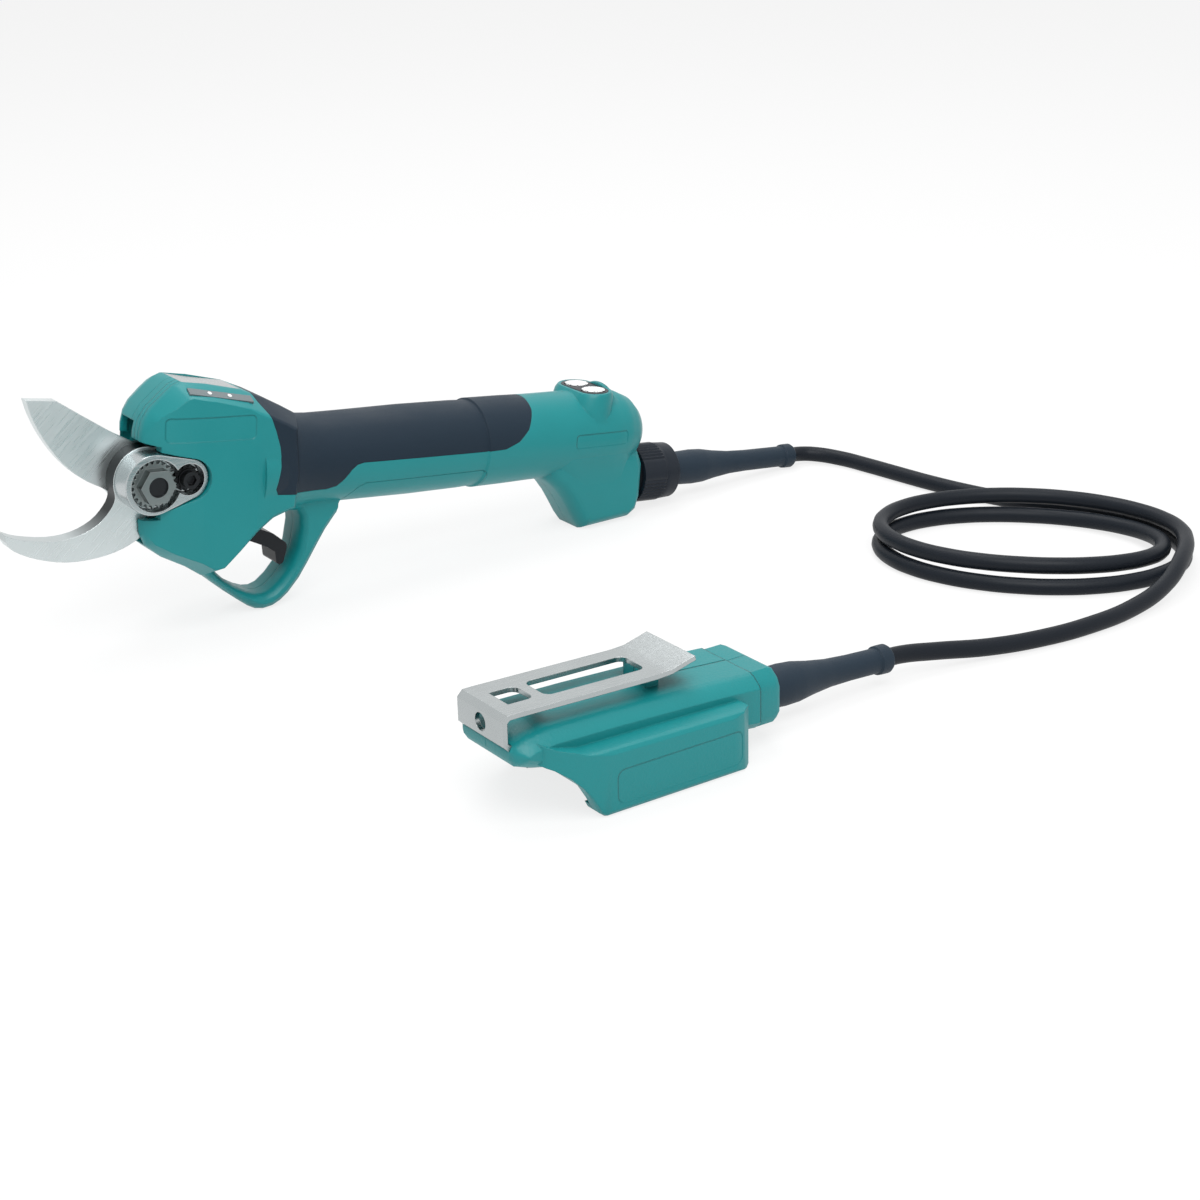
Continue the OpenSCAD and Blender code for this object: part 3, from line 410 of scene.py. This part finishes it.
# Sunk fields and parting lines: centre, half size without the corner, and corner radius
FIELD_DEPTH = 0.0006
HEAD_FIELDS = (
    ((-0.1955, -0.022, 0.0625), (0.0162, 0.012, 0.0028), 0.002),
    ((-0.006, -0.0185, 0.0418), (0.0125, 0.008, 0.0014), 0.0015),
    ((-0.212, -0.0042, 0.0633), (0.012, 0.00005, 0.018), 0.00012),
    ((-0.212, -0.0072, 0.0633), (0.012, 0.00005, 0.018), 0.00012),
)
SKIRT_FIELDS = (
    ((-0.1325, -0.2515, 0.0098), (0.0235, 0.004, 0.0032), 0.003),
    ((-0.091, -0.2205, 0.02), (0.00005, 0.05, 0.05), 0.00015),
    ((-0.12, -0.2205, 0.035), (0.05, 0.00005, 0.01), 0.00012),
)
FINISHES = {}


def finish(name):
    """Give a finish by name, built on first use."""
    if name in FINISHES:
        return FINISHES[name]
    look = bpy.context.scene.pruner_finish
    plastic = tuple(look.plastic)
    rubber = tuple(look.rubber)
    jacket = tuple(look.jacket)
    makers = {
        "housing": lambda: moulded("housing_plastic", plastic, 0.34, 0.44, look.grain, 0.1, 0.0007,
                                   HEAD_FIELDS, Specular_IOR_Level=0.34),
        "adapter": lambda: moulded("adapter_plastic", plastic, 0.36, 0.48, look.grain * 0.6, 0.3, 0.0007,
                                   SKIRT_FIELDS, False, Specular_IOR_Level=0.34),
        "grip": lambda: moulded("grip_rubber", rubber, 0.42, 0.56, 2200, 0.22, 0.0005,
                                Specular_IOR_Level=0.2),
        "boot": lambda: moulded("boot_rubber", shade(rubber, 1.05), 0.45, 0.58, 2600, 0.2, 0.0003,
                                Specular_IOR_Level=0.26),
        "ring": lambda: moulded("ring_plastic", (0.008, 0.0125, 0.02), 0.36, 0.46, 2400, 0.1, 0.0003,
                                Specular_IOR_Level=0.24),
        "cord": lambda: moulded("cord_jacket", jacket, 0.38, 0.48, 3000, 0.1,
                                Specular_IOR_Level=0.16),
        "black": lambda: moulded("black_plastic", (0.007, 0.009, 0.012), 0.3, 0.4, 2400, 0.1,
                                 Specular_IOR_Level=0.25),
        "dark_panel": lambda: moulded("panel_film", (0.012, 0.016, 0.021), 0.28, 0.36, 3000, 0.05,
                                      Specular_IOR_Level=0.2),
        "strip": lambda: moulded("indicator_strip", (0.13, 0.16, 0.17), 0.35, 0.45, 3000, 0.08),
        "white": lambda: moulded("button_white", (0.78, 0.8, 0.8), 0.3, 0.4, 3000, 0.04),
        "board": lambda: moulded("board_green", (0.01, 0.09, 0.04), 0.4, 0.5, 1500, 0.05),
        "blade": lambda: metal("blade_steel", (0.66, 0.715, 0.72), 0.24, 0.4, look.brush, 0.0,
                               math.radians(40), 0.0004),
        "blade_edge_painted_shade": edge_steel_painted_shade,
        "plate": lambda: metal("cast_plate", (0.50, 0.54, 0.55), 0.22, 0.34, 1800, 0.05),
        "sheet": lambda: metal("bright_sheet", (0.44, 0.47, 0.475), 0.2, 0.3, look.brush, 0.0, 0, 0.0003),
        "grey_steel": lambda: metal("grey_steel", (0.25, 0.28, 0.28), 0.28, 0.4, 2200, 0.05),
        "black_steel": lambda: metal("black_steel", (0.035, 0.037, 0.04), 0.32, 0.45, 2200, 0.06),
        "copper": lambda: metal("copper_wire", (0.6, 0.28, 0.14), 0.3, 0.4, 1800, 0.1),
        "brass": lambda: metal("contact_brass", (0.7, 0.5, 0.2), 0.25, 0.35, 1800, 0.05),
    }
    FINISHES[name] = makers[name]()
    return FINISHES[name]


# Mesh helpers


def add_object(name, data):
    """Link a new object, at the origin, into the scene."""
    obj = bpy.data.objects.new(name, data)
    bpy.context.scene.collection.objects.link(obj)
    return obj


def to_mesh(bm, name):
    """End a bmesh as a mesh."""
    mesh = bpy.data.meshes.new(name)
    bm.to_mesh(mesh)
    bm.free()
    return mesh


def solid_copy(node):
    """A bmesh of a solid with its triangles joined into faces."""
    bm = bmesh.new()
    bm.from_mesh(NODES[node].data)
    bmesh.ops.remove_doubles(bm, verts=bm.verts, dist=2e-6)
    bmesh.ops.dissolve_limit(
        bm, angle_limit=math.radians(0.4), use_dissolve_boundaries=False,
        verts=bm.verts, edges=bm.edges, delimit=set())
    return bm


def sharp_edges(bm, angle, least=0.0):
    """Edges that turn by more than an angle and have no very short neighbour."""
    found = []
    for edge in bm.edges:
        if len(edge.link_faces) != 2 or edge.calc_face_angle(0) < angle:
            continue
        near = [e.calc_length() for v in edge.verts for e in v.link_edges]
        if min(near) >= least:
            found.append(edge)
    return found


def soften(bm, width, angle=math.radians(28), segments=2):
    """Round the sharp edges of a solid by a small width."""
    edges = sharp_edges(bm, angle, 1.2 * width)
    bmesh.ops.bevel(
        bm, geom=edges, offset=width, offset_type="OFFSET", segments=segments, profile=0.5,
        affect="EDGES", clamp_overlap=False, material=-1, loop_slide=True)


def add_piece(bm, name, node, finish_name, smooth=40.0):
    """Turn a bmesh into a piece that stands for a solid and rides on its body."""
    limit = math.radians(smooth)
    for face in bm.faces:
        face.smooth = True
    for edge in bm.edges:
        edge.smooth = len(edge.link_faces) == 2 and edge.calc_face_angle(0) < limit
    piece = add_object(name, to_mesh(bm, name))
    piece.data.materials.append(finish(finish_name))
    even = piece.modifiers.new("Even normals", "WEIGHTED_NORMAL")
    even.keep_sharp = True
    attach(piece, NODES[node]["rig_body"])
    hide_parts(node)
    return piece


def rounded(node, finish_name, slot, width, smooth=40.0, angle=28.0, segments=2):
    """A piece made from a solid by rounding its edges, by a width in millimetres."""
    bm = solid_copy(node)
    if width:
        soften(bm, width * MM, math.radians(angle), segments)
    return add_piece(bm, node + "_piece", node, finish_name, smooth)


def reshape(bm, place, move):
    """Move points as a function gives, in a frame of their own."""
    back = place.inverted()
    for vert in bm.verts:
        vert.co = place @ Vector(move(back @ vert.co))


def pad_lift(point):
    """How far the control panel's pad is lifted at a point of its own frame, most at its rear."""
    beyond = max(0.0, abs(point.y) - PANEL_END)
    inside = math.hypot(point.x, beyond) < PAD_REACH
    return PAD_SLOPE * (point.x - PAD_FRONT) if inside else 0.0


def paint(node, finish_name):
    """Give a solid that shows as it is a finish."""
    mesh = NODES[node].data
    mesh.materials.clear()
    mesh.materials.append(finish(finish_name))


class PRUNER_OT_stage(bpy.types.Operator):
    """Camera, pale floor and soft studio light."""

    bl_idname = "pruner.stage"
    bl_label = "Stage"

    # Name, place, size and share of the key lamp's power
    LAMPS = (
        ("key_lamp", (-0.35, -0.75, 1.15), 0.9, 1.0),
        ("top_lamp", (0.15, 0.35, 1.2), 0.8, 0.6),
    )
    LAMP_AIM = Vector((0.0, -0.05, 0.03))
    FLOOR_HALF = 6.0
    # How much of the floor's own white shows over its shading
    FLOOR_GLOW = 0.8

    def execute(self, context):
        look = context.scene.pruner_stage
        self.add_camera(context, look)
        self.add_floor()
        self.add_sky(context, look)
        for name, place, size, share in self.LAMPS:
            self.add_lamp(name, Vector(place), size, look.key_power * share)
        context.scene.view_settings.view_transform = "Standard"
        return {"FINISHED"}

    def add_camera(self, context, look):
        ahead = Vector((math.sin(look.heading) * math.cos(look.dip),
                        math.cos(look.heading) * math.cos(look.dip), -math.sin(look.dip)))
        level = Vector((math.cos(look.heading), -math.sin(look.heading), 0))
        right = level * math.cos(look.roll) + level.cross(ahead) * math.sin(look.roll)
        up = right.cross(ahead)
        data = bpy.data.cameras.new("photo_view")
        data.sensor_width = 36
        data.lens = look.lens
        data.clip_start = 0.01
        camera = add_object("photo_view", data)
        turn = Matrix((right, up, -ahead)).transposed().to_4x4()
        camera.matrix_world = Matrix.Translation(Vector(look.eye)) @ turn
        context.scene.camera = camera

    def add_floor(self):
        bm = bmesh.new()
        bmesh.ops.create_grid(bm, x_segments=1, y_segments=1, size=self.FLOOR_HALF)
        floor = add_object("floor", to_mesh(bm, "floor"))
        material = bpy.data.materials.new("floor_paper")
        material.use_nodes = True
        tree = material.node_tree
        shader = tree.nodes["Principled BSDF"]
        shader.inputs["Base Color"].default_value = (0.9, 0.9, 0.9, 1)
        shader.inputs["Roughness"].default_value = 0.9
        shader.inputs["Specular IOR Level"].default_value = 0.0
        glow = tree_node(tree, "ShaderNodeEmission", Strength=1.0)
        mix = tree.nodes.new("ShaderNodeMixShader")
        part = math_node(tree, "MULTIPLY", self.seen(tree), self.FLOOR_GLOW)
        tree.links.new(part, mix.inputs["Fac"])
        tree.links.new(shader.outputs["BSDF"], mix.inputs[1])
        tree.links.new(glow.outputs["Emission"], mix.inputs[2])
        tree.links.new(mix.outputs["Shader"], tree.nodes["Material Output"].inputs["Surface"])
        floor.data.materials.append(material)

    def seen(self, tree):
        """1 on rays from the camera and on mirrored and refracted ones."""
        path = tree.nodes.new("ShaderNodeLightPath")
        first = math_node(tree, "MAXIMUM", path.outputs["Is Camera Ray"], path.outputs["Is Glossy Ray"])
        return math_node(tree, "MAXIMUM", first, path.outputs["Is Transmission Ray"])

    def add_sky(self, context, look):
        world = bpy.data.worlds.new("studio")
        world.use_nodes = True
        tree = world.node_tree
        back = tree.nodes["Background"]
        back.inputs["Color"].default_value = (1, 1, 1, 1)
        level = tree_node(tree, "ShaderNodeMapRange", To_Min=look.sky, To_Max=1.0)
        tree.links.new(self.seen(tree), level.inputs["Value"])
        tree.links.new(level.outputs["Result"], back.inputs["Strength"])
        context.scene.world = world

    def add_lamp(self, name, place, size, power):
        data = bpy.data.lights.new(name, "AREA")
        data.shape = "SQUARE"
        data.size = size
        data.energy = power
        lamp = add_object(name, data)
        lamp.location = place
        lamp.rotation_euler = (self.LAMP_AIM - place).to_track_quat("-Z", "Y").to_euler()


class PRUNER_OT_cord(bpy.types.Operator):
    """Cord from the hand unit's boot through its coil to the adapter's boot."""

    bl_idname = "pruner.cord"
    bl_label = "Cord"

    COIL_CENTRE = Vector((0.1205, -0.156))
    COIL_TURN = math.radians(-48)
    # Where the coil starts to climb to its second layer and how long it climbs, in turns
    CLIMB_START = 0.72
    CLIMB_TURNS = 0.56
    FIRST = ((0.1173, 0, 0.0059), (0.1262, 0, 0.0049), (0.132, -0.0036, 0.0044), (0.1385, -0.014, 0.0037),
             (0.142, -0.030, 0.0035), (0.1445, -0.048, 0.0035), (0.1475, -0.068, 0.0035),
             (0.152, -0.088, 0.0035), (0.159, -0.109, 0.0035))
    # Angle along the outer turn and distance outside it
    BESIDE = ((75, 0.005), (45, 0.003), (20, 0.0012))
    LAST = ((0.145, -0.220, 0.010), (0.126, -0.2286, 0.0064), (0.104, -0.233, 0.004),
            (0.079, -0.2345, 0.0035), (0.054, -0.2325, 0.0036), (0.030, -0.228, 0.0046),
            (0.008, -0.2228, 0.007), (-0.0082, -0.2205, 0.009), (-0.0172, -0.2205, 0.0095))

    def execute(self, context):
        size = context.scene.pruner_cord
        route = self.route(size)
        curve = bpy.data.curves.new("cord", "CURVE")
        curve.dimensions = "3D"
        curve.bevel_depth = size.diameter / 2
        curve.bevel_resolution = 5
        curve.resolution_u = 6
        spline = curve.splines.new("BEZIER")
        spline.bezier_points.add(len(route) - 1)
        for point, place in zip(spline.bezier_points, route):
            point.co = place
            point.handle_left_type = "AUTO"
            point.handle_right_type = "AUTO"
        cord = add_object("cord", curve)
        curve.materials.append(finish("cord"))
        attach(cord, "hand_unit")
        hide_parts("cord_tool_side", "cord_coil", "cord_adapter_side")
        return {"FINISHED"}

    def turn_point(self, size, angle, out, height):
        """Point at an angle of the coil, some way outside its outer turn."""
        along = Vector((math.cos(self.COIL_TURN), math.sin(self.COIL_TURN)))
        across = Vector((-along.y, along.x))
        flat = (self.COIL_CENTRE + (size.coil_length + out) * math.cos(angle) * along
                + (size.coil_width + out) * math.sin(angle) * across)
        return Vector((flat.x, flat.y, height))

    def coil_point(self, size, share):
        """Point of the two-turn coil: spiralling in, climbing, and spiralling out."""
        step = -size.coil_step * (share if share <= 1 else 2 - share)
        climb = min(1.0, max(0.0, (share - self.CLIMB_START) / self.CLIMB_TURNS))
        height = size.diameter / 2 + size.coil_rise * climb * climb * (3 - 2 * climb)
        return self.turn_point(size, -2 * math.pi * share, step, height)

    def route(self, size):
        turns = 2 * size.coil_points
        coil = [self.coil_point(size, 2 * i / turns) for i in range(turns + 1)]
        beside = [self.turn_point(size, math.radians(a), d, size.diameter / 2) for a, d in self.BESIDE]
        return [Vector(p) for p in self.FIRST] + beside + coil + [Vector(p) for p in self.LAST]


class PRUNER_OT_housing(bpy.types.Operator):
    """Housing halves, lower cover and rubber grip."""

    bl_idname = "pruner.housing"
    bl_label = "Housing and grip"

    def execute(self, context):
        for node in ("left_housing", "right_housing"):
            bm = solid_copy(node)
            reshape(bm, PANEL, self.lift_pad)
            add_piece(bm, node + "_piece", node, "housing", smooth=32)
        rounded("lower_cover", "housing", "housing", 0, smooth=32)
        for node in ("left_grip", "right_grip"):
            rounded(node, "grip", "grip", 0, smooth=32)
        paint("housing_screws", "grey_steel")
        for side, name in ((-1, "left_fillet"), (1, "right_fillet")):
            self.add_fillet(side, name)
        return {"FINISHED"}

    def lift_pad(self, point):
        """The rim of the panel's pad faces up, more level than the panel's bed."""
        lift = pad_lift(point) if point.z > PAD_RIM_LOW else 0.0
        return (point.x, point.y, point.z + lift)

    # In millimetres: radius of the round housing along the tool, the foot's half width, the hollow's
    # radius, where it starts at its top and how much later at its foot, where it ends, how far its
    # front, its rear and its long edges sink into the housing, and its shell's thickness
    ROUND = ((180, 18.72), (205, 18.6), (221, 18.4), (229, 17.2), (235, 14.6))
    FOOT_HALF = 14.5
    FILLET = 45.0
    FRONT = 184
    FRONT_LEAN = 14
    REAR = 233
    SINK_FRONT = 3.3
    SINK_REAR = 2.2
    SINK_SIDES = 0.16
    SHELL = 0.6
    # Shares of the fillet's length over which its front and its rear sink
    FRONT_SHARE = 0.3
    REAR_SHARE = 0.2

    def radius(self, x):
        """Radius of the round housing at a place along it."""
        for (a, low), (b, high) in zip(self.ROUND, self.ROUND[1:]):
            if x <= b:
                return low + (high - low) * (x - a) / (b - a)
        return self.ROUND[-1][1]

    def fillet_point(self, side, along, across):
        """Point of the hollow fillet from the round housing down to the flat side of its foot."""
        x = (self.FRONT + self.FRONT_LEAN * across) * (1 - along) + self.REAR * along
        out = self.FOOT_HALF + self.FILLET
        reach = self.radius(x) + self.FILLET
        drop = math.sqrt(max(0.0, reach * reach - out * out))
        top = math.atan2(drop, out)
        angle = top * (1 - across)
        sunk = (self.SINK_FRONT * max(0.0, 1 - along / self.FRONT_SHARE) ** 2
                + self.SINK_REAR * max(0.0, 1 - (1 - along) / self.REAR_SHARE) ** 2
                + self.SINK_SIDES * (2 * across - 1) ** 8)
        y = out - self.FILLET * math.cos(angle) - sunk
        z = -drop + self.FILLET * math.sin(angle)
        return TOOL @ (Vector((x, side * y, z)) * MM)

    def add_fillet(self, side, name):
        """Fillet between the round housing and its foot, as a thin shell on them."""
        bm = bmesh.new()
        bmesh.ops.create_grid(bm, x_segments=28, y_segments=12, size=0.5)
        for vert in bm.verts:
            vert.co = self.fillet_point(side, vert.co.x + 0.5, vert.co.y + 0.5)
        bmesh.ops.recalc_face_normals(bm, faces=bm.faces)
        if sum(face.normal.y for face in bm.faces) * side < 0:
            bmesh.ops.reverse_faces(bm, faces=bm.faces)
        bmesh.ops.solidify(bm, geom=bm.faces, thickness=self.SHELL * MM)
        for face in bm.faces:
            face.smooth = True
        piece = add_object(name, to_mesh(bm, name))
        piece.data.materials.append(finish("housing"))
        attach(piece, "hand_unit")


class PRUNER_OT_blades(bpy.types.Operator):
    """Counter blade and cutting blade."""

    bl_idname = "pruner.blades"
    bl_label = "Blades"

    # Which way the counter blade's inner edge faces, in the hand unit's frame
    INNER_SIDE = Vector((-0.5, 0, 0.87))

    def execute(self, context):
        counter = rounded("counter_blade", "blade", "blade_steel", 0)
        # The inner edge gets the steel with painted shade by the hub
        counter.data.materials.append(finish("blade_edge_painted_shade"))
        inner = TOOL.to_3x3() @ self.INNER_SIDE
        for face in counter.data.polygons:
            if abs(face.normal.y) < 0.5 and face.normal.dot(inner) > 0.1:
                face.material_index = 1
        rounded("cutting_blade", "blade", "blade_steel", 0)
        return {"FINISHED"}


class PRUNER_OT_adjuster(bpy.types.Operator):
    """Gear plate, toothed pivot nut, lock pinion and their bolts."""

    bl_idname = "pruner.adjuster"
    bl_label = "Blade adjuster"

    # Node, finish, slot and edge in millimetres
    PIECES = (
        ("blade_frame", "plate", "cast_plate", 0.5),
        ("toothed_nut", "grey_steel", "dark_steel", 0.18),
        ("lock_pinion", "black_steel", "black_steel", 0.18),
        ("lock_screw", "black_steel", "black_steel", 0.3),
        ("pivot_bolt", "black_steel", "black_steel", 0.4),
    )

    def execute(self, context):
        for piece in self.PIECES:
            rounded(*piece)
        return {"FINISHED"}


class PRUNER_OT_trigger(bpy.types.Operator):
    """Trigger."""

    bl_idname = "pruner.trigger"
    bl_label = "Trigger"

    def execute(self, context):
        rounded("trigger", "black", "black_plastic", 0.8, angle=50, segments=3)
        return {"FINISHED"}


class PRUNER_OT_controls(bpy.types.Operator):
    """Panel with two buttons, indicator strip with lenses and the top plate."""

    bl_idname = "pruner.controls"
    bl_label = "Controls"

    # Node, finish, slot and edge in millimetres
    PIECES = (
        ("indicator_strip", "strip", "indicator", 0.2),
        ("indicator_lenses", "white", "white_plastic", 0.15),
        ("top_plate", "sheet", "bright_sheet", 0.25),
    )
    SHAPED_EDGE = 0.25
    # How wide a button's crown and stem are made, as shares of the solid's
    CROWN = 1.14
    STEM = 0.88
    # Heights in the panel's frame: over the first lies the film, over the second a button's crown, and
    # over the third a button keeps this share of its height
    FILM_LOW = -0.0001
    CROWN_LOW = 0.0012
    BUTTON_LOW = 0.0008
    BUTTON_SHARE = 0.5

    def execute(self, context):
        self.add_shaped("control_panel", "dark_panel", "black_plastic", self.raise_top)
        for node in ("power_button", "mode_button"):
            self.add_shaped(node, "white", "white_plastic", self.flatten)
        for piece in self.PIECES:
            rounded(*piece)
        return {"FINISHED"}

    def add_shaped(self, node, finish_name, slot, move):
        """A panel piece with its top moved to where it really is, over rounded edges."""
        bm = solid_copy(node)
        reshape(bm, PANEL, move)
        soften(bm, self.SHAPED_EDGE * MM)
        add_piece(bm, node + "_piece", node, finish_name)

    def raise_top(self, point):
        """The panel's film stands a little over its rim."""
        top = FILM_TOP + pad_lift(point)
        return (point.x, point.y, top if point.z > self.FILM_LOW else point.z)

    def flatten(self, point):
        """The buttons are low and leave the film visible round them."""
        middle = math.copysign(BUTTON_OUT, point.y)
        wide = self.CROWN if point.z > self.CROWN_LOW else self.STEM
        flat = Vector((point.x * wide, middle + (point.y - middle) * wide, 0))
        top = FILM_TOP + self.BUTTON_SHARE * (point.z - self.BUTTON_LOW) + pad_lift(flat)
        return (flat.x, flat.y, top if point.z > 0 else point.z)


class PRUNER_OT_connector(bpy.types.Operator):
    """Cord socket, knurled ring, plug and the two boots."""

    bl_idname = "pruner.connector"
    bl_label = "Connector and boots"

    def execute(self, context):
        for node in ("ring_nut", "plug"):
            rounded(node, "ring", "black_plastic", 0)
        paint("cord_socket", "black")
        for node in ("tool_boot", "adapter_boot"):
            rounded(node, "boot", "boot_rubber", 0)
        return {"FINISHED"}


class PRUNER_OT_adapter(bpy.types.Operator):
    """Adapter halves, end cap, terminal block and contacts."""

    bl_idname = "pruner.adapter"
    bl_label = "Adapter"

    def execute(self, context):
        for node in ("adapter_left", "adapter_right", "adapter_end_cap"):
            rounded(node, "adapter", "housing", 0, smooth=32)
        paint("terminal_block", "black")
        paint("terminal_contacts", "brass")
        paint("adapter_screws", "grey_steel")
        return {"FINISHED"}


class PRUNER_OT_belt_hook(bpy.types.Operator):
    """Bent sheet belt hook."""

    bl_idname = "pruner.belt_hook"
    bl_label = "Belt hook"

    def execute(self, context):
        rounded("belt_hook", "sheet", "bright_sheet", 0)
        return {"FINISHED"}


class PRUNER_OT_drive(bpy.types.Operator):
    """Finishes of the drive and electronics inside the housing."""

    bl_idname = "pruner.drive"
    bl_label = "Inner drive"

    LOOKS = {
        "drive_pin": "grey_steel", "ball_nut": "grey_steel", "ball_screw": "grey_steel",
        "screw_bearing": "grey_steel", "gear_unit": "grey_steel", "motor_can": "black_steel",
        "stator": "copper", "rotor": "grey_steel", "control_board": "board", "board_capacitors": "black",
        "trigger_pin": "grey_steel", "trigger_spring": "grey_steel", "trigger_switch": "black",
        "button_board": "board",
    }

    def execute(self, context):
        for node, name in self.LOOKS.items():
            paint(node, name)
        return {"FINISHED"}


class PRUNER_PT_panel(bpy.types.Panel):
    """Sidebar panel that lists the pruner's pieces."""

    bl_label = "Pruner"
    bl_idname = "PRUNER_PT_panel"
    bl_space_type = "VIEW_3D"
    bl_region_type = "UI"
    bl_category = "Pruner"

    def draw(self, context):
        for operator in OPERATORS:
            self.layout.operator(operator.bl_idname)
        for key in ("pruner_finish", "pruner_cord", "pruner_stage"):
            group = getattr(context.scene, key)
            for name in group.bl_rna.properties.keys():
                if name not in ("rna_type", "name"):
                    self.layout.prop(group, name)


GROUP_CLASSES = (PrunerFinish, PrunerCord, PrunerStage)
OPERATORS = (
    PRUNER_OT_stage, PRUNER_OT_cord, PRUNER_OT_housing, PRUNER_OT_blades, PRUNER_OT_adjuster,
    PRUNER_OT_trigger, PRUNER_OT_controls, PRUNER_OT_connector, PRUNER_OT_adapter, PRUNER_OT_belt_hook,
    PRUNER_OT_drive,
)


def register():
    for cls in (*GROUP_CLASSES, *OPERATORS, PRUNER_PT_panel):
        bpy.utils.register_class(cls)
    bpy.types.Scene.pruner_finish = PointerProperty(type=PrunerFinish)
    bpy.types.Scene.pruner_cord = PointerProperty(type=PrunerCord)
    bpy.types.Scene.pruner_stage = PointerProperty(type=PrunerStage)


def unregister():
    del bpy.types.Scene.pruner_finish
    del bpy.types.Scene.pruner_cord
    del bpy.types.Scene.pruner_stage
    for cls in reversed((*GROUP_CLASSES, *OPERATORS, PRUNER_PT_panel)):
        bpy.utils.unregister_class(cls)


def main():
    register()
    bpy.ops.pruner.stage()
    bpy.ops.pruner.cord()
    bpy.ops.pruner.housing()
    bpy.ops.pruner.blades()
    bpy.ops.pruner.adjuster()
    bpy.ops.pruner.trigger()
    bpy.ops.pruner.controls()
    bpy.ops.pruner.connector()
    bpy.ops.pruner.adapter()
    bpy.ops.pruner.belt_hook()
    bpy.ops.pruner.drive()
    bpy.context.view_layer.update()


if __name__ == "__main__":
    main()
